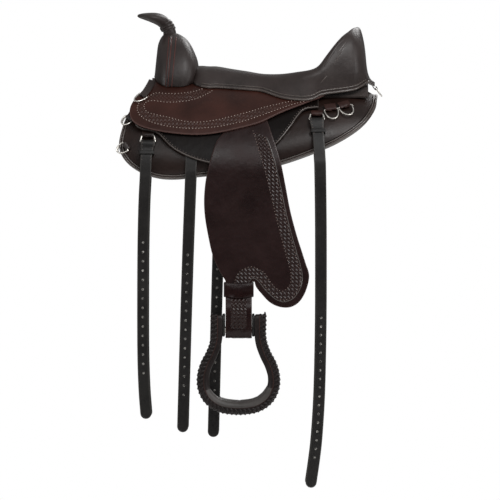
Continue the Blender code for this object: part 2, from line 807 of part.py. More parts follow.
def stirrup_leather(side_name):
    """The strap behind the fender that goes down, round the bolt and up under the hobble strap."""
    half = LEATHER_THICKNESS / 2
    bolt = bolt_centre()
    radius = BOLT_RADIUS + GAP + half
    back = [Vector((LEATHER_X, -(fender_in(z) - GAP - half), z)) for z in (LEATHER_TOP, -0.330, -0.415)]
    path = back
    path.append(Vector((LEATHER_X, bolt.y + radius * 1.12, BOLT_Z + 0.045)))
    for i in range(9):
        turn = math.pi * i / 8
        path.append(Vector((LEATHER_X, bolt.y + radius * math.cos(turn), BOLT_Z - radius * math.sin(turn))))
    path.append(Vector((LEATHER_X, bolt.y - radius * 1.05, BOLT_Z + 0.045)))
    for z in (HOBBLE_BOTTOM - 0.004, FENDER_TAIL - GAP):
        path.append(Vector((LEATHER_X, -(fender_in(z) + half), z)))
    count = len(path)
    return strap("stirrup_leather" + side_name, path, [LEATHER_WIDTH] * count,
                 [LEATHER_THICKNESS] * count, BROWN_LEATHER)


def hollow_loop(name, place, half_x, low_y, high_y, height, wall, slot):
    """A flat strap joined into a loop round a strap, in the axes of a place matrix."""
    rings = []
    for grow, z in ((wall, -height / 2), (wall, height / 2), (0.0, height / 2), (0.0, -height / 2)):
        x, low, high = half_x + grow, low_y - grow, high_y + grow
        ease = wall * (0.9 if grow else 0.3)
        ring = [
            (-x + ease, low), (x - ease, low), (x, low + ease), (x, high - ease),
            (x - ease, high), (-x + ease, high), (-x, high - ease), (-x, low + ease),
        ]
        rings.append([place @ Vector((u, v, z)) for u, v in ring])
    return loft(name, rings, slot, ring_closes=True)


def hobble_strap(side_name):
    middle = (HOBBLE_TOP + HOBBLE_BOTTOM) / 2
    outer = fender_out(middle)
    turn = Matrix.Rotation(-math.atan(FENDER_SLOPE), 4, "X")
    place = Matrix.Translation((LEATHER_X, -outer, middle)) @ turn
    inner = FENDER_THICKNESS + GAP + LEATHER_THICKNESS
    slack = 0.0012
    return hollow_loop("hobble_strap" + side_name, place, LEATHER_WIDTH / 2 + slack, -slack,
                       inner + slack, HOBBLE_HEIGHT, HOBBLE_THICKNESS, BROWN_LEATHER)


# Stirrup

STIRRUP_CURVE = [
    # distance from the stirrup's middle, z, thickness, half width, in millimetres
    (45.0, -458, 24, 15), (45.0, -474, 24, 16), (45.0, -500, 23, 17), (48.0, -520, 23, 18),
    (56.0, -542, 23, 20), (67.0, -564, 24, 22), (73.5, -588, 24, 24), (72.0, -612, 24, 26),
    (60.0, -634, 24, 27), (38.0, -648.5, 24, 27), (12.0, -653.5, 24, 27),
]


def stirrup_path():
    left = [(-across, z, thick, half) for across, z, thick, half in STIRRUP_CURVE]
    right = list(reversed(STIRRUP_CURVE))
    rows = left + right
    spread = EAR_HALF_SPAN / (STIRRUP_CURVE[0][0] * MM)
    y = bolt_centre().y
    points = [Vector((STIRRUP_X + row[0] * MM * spread, y, row[1] * MM)) for row in rows]
    return points, [row[2] * MM for row in rows], [row[3] * MM * 2 for row in rows]


def stirrup(side_name):
    points, thick, wide = stirrup_path()
    across = Vector((0.0, 1.0, 0.0))
    made = strap("stirrup" + side_name, points, wide, thick, BROWN_LEATHER, across)
    hole = bolt_solid("bolt_room", GAP, CUTTERS)
    return cut(made, hole)


def bolt_solid(name, grow=0.0, where=PARTS):
    length = 2 * (EAR_HALF_SPAN + EAR_THICKNESS / 2) - 0.002 + (0.02 if grow else 0.0)
    body = bmesh.new()
    turn = Matrix.Translation(bolt_centre()) @ Matrix.Rotation(math.pi / 2, 4, "Y")
    bmesh.ops.create_cone(body, cap_ends=True, segments=16, radius1=BOLT_RADIUS + grow,
                          radius2=BOLT_RADIUS + grow, depth=length, matrix=turn)
    return to_object(name, body, STEEL, where)


def tread_pad(side_name):
    """The ribbed pad on the stirrup's inner floor, with a flat stretch in the middle."""
    points, thick, wide = stirrup_path()
    middle = len(points) // 2
    path = []
    for i in range(middle - 3, middle + 3):
        run = (points[i + 1] - points[i - 1]).normalized()
        inward = Vector((-run.z, 0.0, run.x))
        path.append(points[i] + inward * (thick[i] / 2 + GAP + PAD_THICKNESS / 2))
    count = len(path)
    return strap("tread_pad" + side_name, path, [2 * TREAD_HALF_WIDTH - 0.006] * count,
                 [PAD_THICKNESS] * count, RUBBER, Vector((0.0, 1.0, 0.0)))


# Dees on the panels


def hairpin(place, width, thick, radius, long_leg, short_leg, slot, name, sink=0.0, where=PARTS):
    """Leather folded round a bar that lies along the place's X axis, its long leg sunk in at its end."""
    path = [
        Vector((0.0, radius + sink, long_leg)),
        Vector((0.0, radius + sink * 0.3, long_leg * 0.5)),
        Vector((0.0, radius, 0.0)),
    ]
    for i in range(1, 6):
        turn = math.pi * i / 6
        path.append(Vector((0.0, radius * math.cos(turn), -radius * math.sin(turn))))
    path.append(Vector((0.0, -radius, 0.0)))
    path.append(Vector((0.0, -radius, short_leg)))
    count = len(path)
    made = strap(name, path, [width] * count, [thick] * count, slot, plain=True, where=where)
    made.data.transform(place)
    return made


def dee_path(width, height, wire):
    """A D with its straight bar on the X axis and its bow hanging down."""
    points = []
    count = 10
    for i in range(count + 1):
        turn = math.pi * i / count
        points.append(Vector((width / 2 * math.cos(turn), 0.0, -height * math.sin(turn) ** 0.9)))
    for share in (-0.5, 0.0, 0.5):
        points.append(Vector((width / 2 * share, 0.0, 0.0)))
    return points


def dee(name, place, width, height):
    points = [place @ p for p in dee_path(width - 2 * DEE_WIRE, height - DEE_WIRE, DEE_WIRE)]
    return curve_object(name, points, DEE_WIRE, STEEL, True)


DEE_LIFT = 0.0045
DEE_TAB_SINK = 0.0085
JOCKEY_TAB_SINK = 0.0050
PANEL_DEES = [
    # name, x, z, turn in degrees, width, height, long leg and short leg of the tab
    ("front_dee_middle", -250.5, -46.5, 42, 24, 23, 11, 5),
    ("front_dee_lower", -258.5, -106.0, 58, 24, 22, 11, 5),
    ("rear_dee_front", 171.5, -28.0, -12, 32, 30, 17, 9),
    ("rear_dee_back", 201.0, -21.5, -22, 32, 30, 15, 9),
]
JOCKEY_DEES = [
    ("front_dee_upper", -221.0, 1.5, 40, 24, 28, 11, 5),
]


def dee_place(layer, x, z, turn):
    return seat_frame(x * MM, z * MM, layer + DEE_LIFT, math.radians(turn))


def dee_tab_width(width):
    return width - 4 * DEE_WIRE - 2 * GAP - 0.0015


def sew_on_tabs(base, rows, layer, sink):
    """A panel or a jockey with its dee tabs, whose long legs are sewn down into it."""
    radius = DEE_WIRE + GAP + TAB_THICKNESS / 2
    for name, x, z, turn, width, _, long_leg, short_leg in rows:
        tab = hairpin(dee_place(layer, x, z, turn), dee_tab_width(width * MM), TAB_THICKNESS, radius,
                      long_leg * MM, short_leg * MM, BLACK_LEATHER, name + "_tab", sink, CUTTERS)
        cut(base, tab, "UNION")
    return base


def dees():
    for rows, layer in ((PANEL_DEES, PANEL_OUT), (JOCKEY_DEES, JOCKEY_OUT)):
        for name, x, z, turn, width, height, _, _ in rows:
            place = dee_place(layer, x, z, turn)
            pair(dee(name + "_left", place, width * MM, height * MM), place.translation)


# Billets

POINT_RING = (-0.2115, -0.0835)
BALANCE_RING = (0.1420, -0.0385)
RING_OFF = PANEL_OUT + 0.0072
RING_TAB_WIDTH = 0.0240
RING_TAB_LEG = 0.0160
POINT_TAB_SINK = 0.0026
BALANCE_TAB_SINK = 0.0037
FOLD_WIDTH = 0.0260
FOLD_RADIUS = RING_WIRE + 2 * GAP + BILLET_FOLD / 2


def ring_frame(ring):
    return seat_frame(ring[0], ring[1], RING_OFF)


def rectangle_ring(name, place):
    """A rounded steel rectangle whose upper bar is the pivot."""
    half, low, ease = RING_WIDTH / 2 - RING_WIRE, -RING_HEIGHT, 0.0025
    corners = [
        (half - ease, 0.0), (half, -ease), (half, low + ease), (half - ease, low),
        (0.0, low), (-half + ease, low), (-half, low + ease), (-half, -ease), (-half + ease, 0.0),
        (0.0, 0.0),
    ]
    points = [place @ Vector((x, 0.0, z)) for x, z in corners]
    return curve_object(name, points, RING_WIRE, STEEL, True)


def billet_holes(name, spots):
    """One cutter of round pins through the strap, a pitch apart."""
    body = bmesh.new()
    for spot, direction in spots:
        turn = direction.to_track_quat("Z", "X").to_matrix().to_4x4()
        bmesh.ops.create_cone(body, cap_ends=True, segments=6, radius1=HOLE_RADIUS, radius2=HOLE_RADIUS,
                              depth=0.02, matrix=Matrix.Translation(spot) @ turn)
    return to_object(name, body, STRAP_LEATHER, CUTTERS)


def along(path, first_z, count, pitch=HOLE_PITCH):
    """Places a hole's pitch apart down a path from a height, with the way through the strap."""
    places = []
    wanted = [first_z - pitch * i for i in range(count)]
    for z in wanted:
        for a, b in zip(path, path[1:]):
            if a.z >= z > b.z:
                share = (a.z - z) / (a.z - b.z)
                run = (b - a).normalized()
                places.append((a.lerp(b, share), run.cross(Vector((1.0, 0.0, 0.0)))))
                break
    return places


def rounded_end(path, widths, thicknesses, width):
    """The strap's rounded tip, as three narrowing steps past its last point."""
    run = (path[-1] - path[-2]).normalized()
    last = path[-1]
    for share, narrow in ((0.28, 0.90), (0.43, 0.66), (0.50, 0.30)):
        path.append(last + run * width * share)
        widths.append(width * narrow)
        thicknesses.append(thicknesses[0])


def ringed_billet(name, ring, path_rows, first_hole, holes, pitch):
    """A billet folded round its ring's lower bar and hanging down over the panel."""
    place = ring_frame(ring)
    radius = FOLD_RADIUS
    centre = Vector((0.0, 0.0, -RING_HEIGHT))
    inner_off = RING_OFF - radius
    down = place @ (centre + Vector((0.0, radius, -0.004)))
    path = []
    for row in reversed(path_rows[0][:2]):
        path.append(on_height(row[0] * MM, row[1] * MM, inner_off))
    widths = [BILLET_WIDTH, BILLET_WIDTH]
    path.append(down)
    widths.append((BILLET_WIDTH + FOLD_WIDTH) / 2)
    for i in range(7):
        turn = math.pi * i / 6
        path.append(place @ (centre + Vector((0.0, radius * math.cos(turn), radius * math.sin(turn)))))
        widths.append(FOLD_WIDTH)
    path.append(place @ (centre + Vector((0.0, -radius, -0.005))))
    widths.append((BILLET_WIDTH + FOLD_WIDTH) / 2)
    thick = [BILLET_FOLD] * len(path)
    hanging = [on_height(row[0] * MM, row[1] * MM, inner_off + row[2] * MM) for row in path_rows[0]]
    out = hanging[-1].y
    hanging += [Vector((row[0] * MM, out, row[1] * MM)) for row in path_rows[1]]
    path += hanging
    widths += [BILLET_WIDTH] * len(hanging)
    thick += [BILLET_FOLD] + [BILLET_THICKNESS] * (len(hanging) - 1)
    thick[0] = BILLET_FOLD
    end_thick = [BILLET_THICKNESS]
    end_path, end_widths = path[-2:], []
    rounded_end(end_path, end_widths, end_thick, BILLET_WIDTH)
    path += end_path[2:]
    widths += end_widths
    thick += end_thick[1:]
    made = strap(name + "_left", path, widths, thick, STRAP_LEATHER)
    cut(made, billet_holes("holes", along(hanging, first_hole, holes, pitch)))
    return made, hanging


POINT_ROWS = (
    [(-213, -108, 4.9), (-214.8, -124, 4.3), (-215.8, -142, 3.6), (-216.5, -160, 2.6), (-217.2, -176, 2.4)],
    [(-219.8, -232), (-221.8, -340), (-222, -520), (-219.5, -610), (-215.5, -664)],
)
BALANCE_ROWS = (
    [(143.2, -64, 4.9), (145, -80, 4.3), (146.2, -96, 3.6), (147.4, -112, 2.8), (148.4, -130, 2.4),
     (149.3, -148, 2.4)],
    [(150.5, -230), (151, -330), (150.5, -480), (147.5, -620), (142, -712), (136.5, -762),
     (129.8, -808)],
)
POINT_KEEPER = (-214.3, -120.5, 4.6)
BALANCE_KEEPER = (144.6, -76, 4.6)
BALANCE_HOLE_PITCH = 0.0183


def keeper(name, ring, spot):
    inner_off = RING_OFF - FOLD_RADIUS
    place = seat_frame(spot[0] * MM, spot[1] * MM, inner_off)
    front = -(spot[2] * MM + BILLET_FOLD / 2 + 0.0014)
    back = BILLET_FOLD / 2 + GAP
    return hollow_loop(name + "_keeper_left", place, BILLET_WIDTH / 2 + 0.0024, front, back,
                       KEEPER_HEIGHT, KEEPER_THICKNESS, STRAP_LEATHER)


def ringed_billets():
    for name, ring, rows, first_hole, holes, pitch, spot, sink in (
        ("point_billet", POINT_RING, POINT_ROWS, -0.307, 15, HOLE_PITCH, POINT_KEEPER, POINT_TAB_SINK),
        ("balance_billet", BALANCE_RING, BALANCE_ROWS, -0.464, 17, BALANCE_HOLE_PITCH, BALANCE_KEEPER,
         BALANCE_TAB_SINK),
    ):
        place = ring_frame(ring)
        pivot = place.translation
        radius = RING_WIRE + GAP + TAB_THICKNESS / 2
        tab = hairpin(place, RING_TAB_WIDTH, TAB_THICKNESS, radius, RING_TAB_LEG, RING_TAB_LEG / 4,
                      BROWN_LEATHER, name + "_tab_left", sink)
        pair(tab)
        pair(rectangle_ring(name + "_ring_left", place), pivot)
        made, hanging = ringed_billet(name, ring, rows, first_hole, holes, pitch)
        pair(made, pivot)
        pair(keeper(name, ring, spot), pivot)


GIRTH_HOLES = 16
GIRTH_ROWS = {
    "girth_billet_front": (
        [(-121, -118), (-121, -134), (-121.5, -150), (-122, -166)],
        [(-124, -220), (-128, -330), (-132, -460), (-136, -600), (-138.5, -692)], -0.333,
    ),
    "girth_billet_rear": (
        [(-60, -118), (-60.5, -134), (-61, -150), (-61.5, -166)],
        [(-62.5, -220), (-65, -330), (-68.5, -460), (-72, -600), (-74.5, -702)], -0.343,
    ),
}
GIRTH_PIVOTS = {"girth_billet_front": (-0.1285, -0.140), "girth_billet_rear": (-0.0665, -0.140)}
GIRTH_STRAP_THICKNESS = 0.0030
GIRTH_OFF = PANEL_OUT + 0.0007


def girth_billets():
    for name, (rows, low_rows, first_hole) in GIRTH_ROWS.items():
        middle = GIRTH_OFF + GIRTH_STRAP_THICKNESS / 2
        path = [on_height(x * MM, z * MM, middle) for x, z in rows]
        out = path[-1].y - 0.0006
        path += [Vector((x * MM, out, z * MM)) for x, z in low_rows]
        hanging = list(path)
        widths = [BILLET_WIDTH] * len(path)
        thick = [GIRTH_STRAP_THICKNESS] * len(path)
        rounded_end(path, widths, thick, BILLET_WIDTH)
        made = strap(name + "_left", path, widths, thick, STRAP_LEATHER)
        cut(made, billet_holes("holes", along(hanging, first_hole, GIRTH_HOLES)))
        x, z = GIRTH_PIVOTS[name]
        pair(made, on_height(x, z, middle))


# Tail tab and dee


def tail():
    pivot = Vector((0.2665, 0.0, 0.0165))
    lean = math.radians(-37.0)
    place = Matrix.Translation(pivot) @ Matrix.Rotation(math.pi / 2, 4, "Z") @ Matrix.Rotation(lean, 4, "X")
    radius = DEE_WIRE + GAP + TAB_THICKNESS / 2
    hairpin(place, dee_tab_width(TAIL_DEE_WIDTH), TAB_THICKNESS, radius, TAIL_TAB_LEG, TAIL_TAB_LEG / 2,
            BLACK_LEATHER, "tail_tab")
    ring = dee("tail_dee", place, TAIL_DEE_WIDTH, TAIL_DEE_HEIGHT)
    set_origin(ring, pivot)


def build():
    """Every piece, left ones first with their right-hand twins."""
    pair(sew_on_tabs(panel("_left"), PANEL_DEES, PANEL_OUT, DEE_TAB_SINK))
    pair(panel_binding("_left"))
    ground_seat()
    pair(skirt("flap_left", FLAP_EDGE, FLAP_IN, FLAP_OUT, BLACK_LEATHER))
    jockey = skirt("jockey_left", JOCKEY_EDGE, JOCKEY_IN, JOCKEY_OUT, BROWN_LEATHER)
    pair(sew_on_tabs(jockey, JOCKEY_DEES, JOCKEY_OUT, JOCKEY_TAB_SINK))
    stirrup_bridge()
    pommel_arch()
    fork_cover()
    horn()
    horn_wrap()
    seat()
    cantle_board()
    front, rear = hinge_line()
    bolt = bolt_centre()
    pair(fender("_left"), (front + rear) / 2)
    pair(stirrup_leather("_left"), (front + rear) / 2)
    pair(hobble_strap("_left"), (front + rear) / 2)
    pair(stirrup("_left"), bolt)
    pair(bolt_solid("stirrup_bolt_left"), bolt)
    pair(tread_pad("_left"), bolt)
    dees()
    ringed_billets()
    girth_billets()
    tail()


build()
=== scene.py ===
"""Looks of the treeless saddle: its leather, padding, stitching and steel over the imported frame.

Metres, +Z up, +X towards the tail, -Y is the saddle's left side, as in the frame.
"""

import math

import bmesh
import bpy
import numpy as np
from mathutils import Matrix, Vector
from mathutils.bvhtree import BVHTree
from mathutils.geometry import delaunay_2d_cdt


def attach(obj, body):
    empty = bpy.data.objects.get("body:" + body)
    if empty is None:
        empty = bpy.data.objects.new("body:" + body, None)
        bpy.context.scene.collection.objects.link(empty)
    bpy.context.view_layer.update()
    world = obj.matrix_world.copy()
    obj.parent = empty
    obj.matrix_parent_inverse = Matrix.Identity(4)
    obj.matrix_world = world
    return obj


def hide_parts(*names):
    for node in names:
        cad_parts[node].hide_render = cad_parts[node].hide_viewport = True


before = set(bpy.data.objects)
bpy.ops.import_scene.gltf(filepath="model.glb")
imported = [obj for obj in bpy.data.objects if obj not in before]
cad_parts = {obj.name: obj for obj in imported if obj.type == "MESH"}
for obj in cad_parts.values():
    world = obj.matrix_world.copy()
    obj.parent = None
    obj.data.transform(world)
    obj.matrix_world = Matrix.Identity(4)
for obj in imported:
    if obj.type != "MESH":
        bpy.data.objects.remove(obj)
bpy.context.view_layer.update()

bl_info = {
    "name": "Treeless saddle looks",
    "version": (1, 0, 0),
    "blender": (4, 5, 0),
    "location": "3D View > Sidebar > Saddle",
    "description": "Dresses the packed treeless saddle in leather, padding, stitches and steel",
    "category": "Object",
}

MM = 0.001

# The photograph's pixel at the frame's origin, and how many millimetres a pixel takes in
PHOTO_ORIGIN = (249.0, 96.4)
PHOTO_PIXEL = 2.1
PHOTO_WIDTH = 500 * PHOTO_PIXEL * MM

# The barrel that every layer lies on, and how far each layer stands off it
BARREL_HALF_WIDTH = 0.178
BARREL_HALF_HEIGHT = 0.190
GAP = 0.0003
PANEL_OUT = 0.0245
GROUND_OUT = 0.0287
FLAP_IN = 0.0296
FLAP_OUT = 0.0322
BRIDGE_OUT = 0.0357
JOCKEY_IN = 0.0360
JOCKEY_OUT = 0.0400
SEAT_IN = 0.0403
RIM_WIDTH = 0.0092
RIM_THICKNESS = 0.0085
RIM_DROP = 0.0075
CHANNEL_ANGLE = math.radians(10.0)
FORK_HALF_WIDTH = 0.094
FENDER_THICKNESS = 0.0032
FENDER_SLOPE = 0.12
LEATHER_X = -0.0215
LEATHER_WIDTH = 0.055
LEATHER_THICKNESS = 0.0040
HOBBLE_TOP = -0.390
HOBBLE_HEIGHT = 0.030
HOBBLE_THICKNESS = 0.0026
FENDER_TAIL = HOBBLE_TOP - 0.014
STIRRUP_X = -0.0220
BOLT_Z = -0.490
BOLT_RADIUS = 0.0060
BOLT_IN = 0.0045
LOOP_SLACK = 0.0070
BILLET_WIDTH = 0.0235
BILLET_THICKNESS = 0.0036
BILLET_FOLD = 0.0024
HOLE_RADIUS = 0.0021
HOLE_PITCH = 0.0195
RING_WIRE = 0.0019
RING_WIDTH = 0.0345
RING_HEIGHT = 0.0150
RING_OFF = PANEL_OUT + 0.0072
FOLD_WIDTH = 0.0298
BELL_LENGTH = 0.0240
FOLD_RADIUS = RING_WIRE + 2 * GAP + BILLET_FOLD / 2
DEE_WIRE = 0.0015
TAB_THICKNESS = 0.0018
DEE_LIFT = 0.0045
# Radii of the cords, rolls and piping
SEAM_CORD = 0.0010
SEAM_RIDGE = 0.0026
SEAT_BEAD = 0.0014
SEAT_FOLD = 0.0013
CANTLE_ROLL = 0.0046
FLAP_PIPING = 0.0014
FENDER_CORD = 0.0008
STIRRUP_CORD = 0.0011
# Where stitches lie on a sheet: 1 is its outer face, and 2 is half its thickness further out
LOW_STITCHES = 1.1
FOLD_STITCHES = 1.12
HIGH_STITCHES = 1.2
SIDES = ("left", "right")


# Colours and sizes that a user may change


def linear(hex_colour):
    """An sRGB hex colour as linear red, green and blue."""
    parts = [int(hex_colour[i:i + 2], 16) / 255 for i in (1, 3, 5)]
    return tuple(p / 12.92 if p <= 0.04045 else ((p + 0.055) / 1.055) ** 2.4 for p in parts)


def colour(name, description, hex_colour):
    return bpy.props.FloatVectorProperty(
        name=name, description=description, default=linear(hex_colour), size=3, min=0.0, max=1.0,
        subtype="COLOR",
    )


def length(name, description, metres):
    return bpy.props.FloatProperty(
        name=name, description=description, default=metres, min=0.0, unit="LENGTH",
    )


class SaddleColours(bpy.types.PropertyGroup):
    """Colours of the saddle's leathers, thread and metal"""

    seat: colour("Seat leather", "Black-brown leather over the seat, fork and horn", "#2a2220")
    panel: colour("Panel leather", "Leather over the panels", "#1e120e")
    # The flaps' colour is darkened with painted shade, the shadow between the jockeys and the panels
    flap: colour("Flap leather", "Black-brown leather of the flaps", "#0b0605")
    jockey: colour("Jockey leather", "Reddish brown tooled leather of the jockeys", "#301812")
    fender: colour("Fender leather", "Tooled leather of the fenders and stirrup leathers", "#1a0807")
    strap: colour("Strap leather", "Black leather of the billets", "#161413")
    # Lighter than the seat leather, partly as a painted highlight along the rolls
    piping: colour("Piping leather", "Rolled leather of the welts, piping and bound rims", "#423a36")
    tab: colour("Tab leather", "Brown leather of the ring tabs", "#2e1a16")
    stirrup: colour("Stirrup leather", "Leather over the stirrups", "#170f0e")
    seam: colour("Seam", "Reddish cord along the fork's seam", "#54302c")
    thread: colour("Thread", "Waxed thread of the stitches", "#b09f96")
    fender_thread: colour("Fender thread", "Oiled thread of the fenders and stirrup leathers", "#78665f")
    dark_thread: colour("Dark thread", "Thread of the dark seams", "#5a4f4a")
    steel: colour("Steel", "Polished stainless steel of the rings and dees", "#e4e0d9")
    lining: colour("Tread lining", "Grey leather inside the stirrups", "#3c3836")
    felt: colour("Felt", "Wool felt of the ground seat", "#2b201c")
    board: colour("Board", "Moulded boards in the pommel and cantle", "#303032")
    floor: colour("Floor", "Studio floor", "#f4f3f1")


class SaddleSizes(bpy.types.PropertyGroup):
    """Sizes of the saddle's stitches, tooling and trim"""

    # Stitches and stamps are drawn about twice as coarse as real ones, so that they show
    stitch_pitch: length("Stitch pitch", "From one stitch to the next", 0.0066)
    stitch_length: length("Stitch length", "Length of one stitch", 0.0022)
    stitch_radius: length("Stitch radius", "Half the thickness of the thread", 0.0009)
    stamp_cell: length("Basket stamp", "Width of one stamp of the tooled bands", 0.0058)
    welt_radius: length("Welt radius", "Half the thickness of the seat's welt", 0.0026)
    lace_pitch: length("Lace pitch", "From one lace to the next round the stirrups", 0.0092)
    lace_radius: length("Lace radius", "Half the thickness of the lace", 0.0024)
    grain: length("Leather grain", "Width of one pebble of the leather's grain", 0.0016)


# Places on the barrel


def half_axes(off):
    return BARREL_HALF_WIDTH + off, BARREL_HALF_HEIGHT + off


def on_angle(x, angle, off):
    """The point of the left side at an angle from the top, off outwards from the barrel."""
    wide, high = half_axes(off)
    return Vector((x, -wide * math.sin(angle), -BARREL_HALF_HEIGHT + high * math.cos(angle)))


def angle_of(z, off):
    return math.acos(max(-1.0, min(1.0, (z + BARREL_HALF_HEIGHT) / half_axes(off)[1])))


def on_height(x, z, off):
    return on_angle(x, angle_of(z, off), off)


def seat_frame(x, z, off, turn=0.0):
    """Axes at a place on the left side: X along the saddle, -Y outwards and Z up the side."""
    angle = angle_of(z, off)
    wide, high = half_axes(off)
    up = Vector((0.0, wide * math.cos(angle), high * math.sin(angle))).normalized()
    along = Vector((1.0, 0.0, 0.0))
    axes = Matrix((along, up.cross(along), up)).transposed().to_4x4()
    return Matrix.Translation(on_height(x, z, off)) @ axes @ Matrix.Rotation(turn, 4, "Y")


def on_plan(points, off, radius):
    """Side-view points as x and girth along the barrel."""
    return [Vector((p.x, angle_of(p.y, off) * radius)) for p in points]


def smooth(points, steps=4, closed=False):
    """A Catmull-Rom curve through points of any dimension."""
    count = len(points)
    vectors = [Vector(point) for point in points]
    found = []
    for index in range(count if closed else count - 1):
        if closed:
            a, b, c, d = (vectors[(index + step) % count] for step in (-1, 0, 1, 2))
        else:
            b, c = vectors[index], vectors[index + 1]
            a = vectors[index - 1] if index else b * 2 - c
            d = vectors[index + 2] if index + 2 < count else c * 2 - b
        for step in range(steps):
            t = step / steps
            found.append(
                0.5 * ((2 * b) + (c - a) * t + (2 * a - 5 * b + 4 * c - d) * t**2
                       + (3 * b - a - 3 * c + d) * t**3)
            )
    if not closed:
        found.append(vectors[-1])
    return found


def resample(points, step, closed=False):
    """Points an even distance apart along a line."""
    spots = np.array([list(p) for p in points] + ([list(points[0])] if closed else []))
    runs = np.concatenate([[0.0], np.cumsum(np.linalg.norm(np.diff(spots, axis=0), axis=1))])
    count = max(3, round(runs[-1] / step))
    wanted = np.linspace(0.0, runs[-1], count + 1)[: count if closed else count + 1]
    columns = [np.interp(wanted, runs, spots[:, i]) for i in range(spots.shape[1])]
    return [Vector(row) for row in np.stack(columns, axis=1)]


def inset(points, distance):
    """A closed flat outline drawn in by a distance."""
    count = len(points)
    area = sum(
        points[i].x * points[(i + 1) % count].y - points[(i + 1) % count].x * points[i].y
        for i in range(count)
    )
    sign = 1.0 if area > 0 else -1.0
    moved = []
    for i in range(count):
        run = (points[(i + 1) % count] - points[i - 1]).normalized()
        moved.append(points[i] + Vector((-run.y, run.x)) * distance * sign)
    return moved


def offsets(line, distance):
    """Steps square to an open flat line, to its left by a distance."""
    found = []
    for i in range(len(line)):
        run = (line[min(i + 1, len(line) - 1)] - line[max(i - 1, 0)]).normalized()
        found.append(Vector((-run.y, run.x)) * distance)
    return found


def millimetres(points):
    return [Vector([value * MM for value in point]) for point in points]


def photo_points(points):
    """Places in the side view, given in the photograph's frame, as x and z in metres."""
    middle_x, middle_y = PHOTO_ORIGIN
    return [Vector(((px - middle_x) * PHOTO_PIXEL * MM, (middle_y - py) * PHOTO_PIXEL * MM))
            for px, py in points]


# Distances in a flat plan, for edge wear, tooling and mesh spacing


def line_distance(spots, line):
    """How far each spot of an array is from a closed line."""
    starts = np.array([list(p)[:2] for p in line])
    runs = np.roll(starts, -1, axis=0) - starts
    lengths = np.maximum((runs**2).sum(axis=1), 1e-18)
    best = np.full(len(spots), 1e9)
    for first in range(0, len(spots), 2000):
        some = spots[first:first + 2000, None, :]
        share = np.clip(((some - starts) * runs).sum(axis=2) / lengths, 0.0, 1.0)
        gaps = some - (starts + share[..., None] * runs)
        best[first:first + 2000] = np.sqrt((gaps**2).sum(axis=2)).min(axis=1)
    return best


def inside(spots, line):
    """Which spots of an array lie inside a closed line."""
    found = np.zeros(len(spots), bool)
    for (ax, ay), (bx, by) in zip([p[:2] for p in line], [p[:2] for p in line[1:] + line[:1]]):
        crosses = (ay > spots[:, 1]) != (by > spots[:, 1])
        if ay != by:
            at = (bx - ax) * (spots[:, 1] - ay) / (by - ay) + ax
            found ^= crosses & (spots[:, 0] < at)
    return found


# Meshes


def arc(start, stop, steps):
    """The cosines and sines of an even fan of turns in radians, both ends included."""
    turns = [start + (stop - start) * k / steps for k in range(steps + 1)]
    return [(math.cos(turn), math.sin(turn)) for turn in turns]


def circle(sides):
    return arc(0.0, 2 * math.pi, sides)[:-1]


def squarer(value, power):
    """A cosine or sine bent so that its oval is squarer: 1 is an ellipse, and less is squarer."""
    return math.copysign(abs(value) ** power, value)


def rounded(x, y, ease, start, stop, steps):
    """A flat corner at x, y rounded to a radius, from one turn to another in degrees."""
    x, y = x - math.copysign(ease, x), y - math.copysign(ease, y)
    return [(x + ease * c, y + ease * s) for c, s in arc(math.radians(start), math.radians(stop), steps)]


def shaded(mesh, sharp=50.0):
    mesh.shade_smooth()
    mesh.set_sharp_from_angle(angle=math.radians(sharp))
    return mesh


def mesh_of(body, sharp=50.0):
    bmesh.ops.recalc_face_normals(body, faces=body.faces)
    mesh = bpy.data.meshes.new("piece")
    body.to_mesh(mesh)
    body.free()
    return shaded(mesh, sharp)


def store(mesh, name, values):
    mesh.attributes.new(name, "FLOAT", "POINT").data.foreach_set("value", np.asarray(values, np.float32))


def bridge(body, first, second):
    """Faces between two closed rows of points."""
    count = len(first)
    for i in range(count):
        after = (i + 1) % count
        body.faces.new((first[i], first[after], second[after], second[i]))


def loft(rings, ring_closes=False, sharp=50.0):
    """A closed mesh through rings of points, its ends capped or joined to each other."""
    body = bmesh.new()
    loops = [[body.verts.new(point) for point in ring] for ring in rings]
    if ring_closes:
        bridge(body, loops[-1], loops[0])
    else:
        body.faces.new(loops[0])
        body.faces.new(loops[-1])
    for first, second in zip(loops, loops[1:]):
        bridge(body, first, second)
    return mesh_of(body, sharp)


def tube(points, radius, sides, closed=False, taper=False):
    """A round cord along points, its open ends rounded off, or thinning out where it tapers."""
    points = [Vector(point) for point in points]
    count = len(points)
    radii = [radius] * count
    if taper:
        radii = [radius * max(0.12, math.sin(math.pi * i / (count - 1))) ** 0.5 for i in range(count)]
    if not closed:
        first, last = points[0], points[-1]
        back = (points[0] - points[1]).normalized()
        on = (points[-1] - points[-2]).normalized()
        points = ([first + back * radius * s for s in (0.92, 0.62)] + points
                  + [last + on * radius * s for s in (0.62, 0.92)])
        radii = [radii[0] * s for s in (0.35, 0.78)] + radii + [radii[-1] * s for s in (0.78, 0.35)]
        count = len(points)
    rings = []
    side = None
    for i, point in enumerate(points):
        if closed:
            run = (points[(i + 1) % count] - points[i - 1]).normalized()
        else:
            run = (points[min(i + 1, count - 1)] - points[max(i - 1, 0)]).normalized()
        if side is None:
            side = Vector((0.0, 0.0, 1.0)) if abs(run.z) < 0.8 else Vector((0.0, 1.0, 0.0))
        side = (side - run * run.dot(side)).normalized()
        other = run.cross(side)
        rings.append([point + (side * c + other * s) * radii[i] for c, s in circle(sides)])
    return loft(rings, ring_closes=closed)


def middle_of(loop):
    return sum(loop, Vector((0.0, 0.0))) / len(loop)


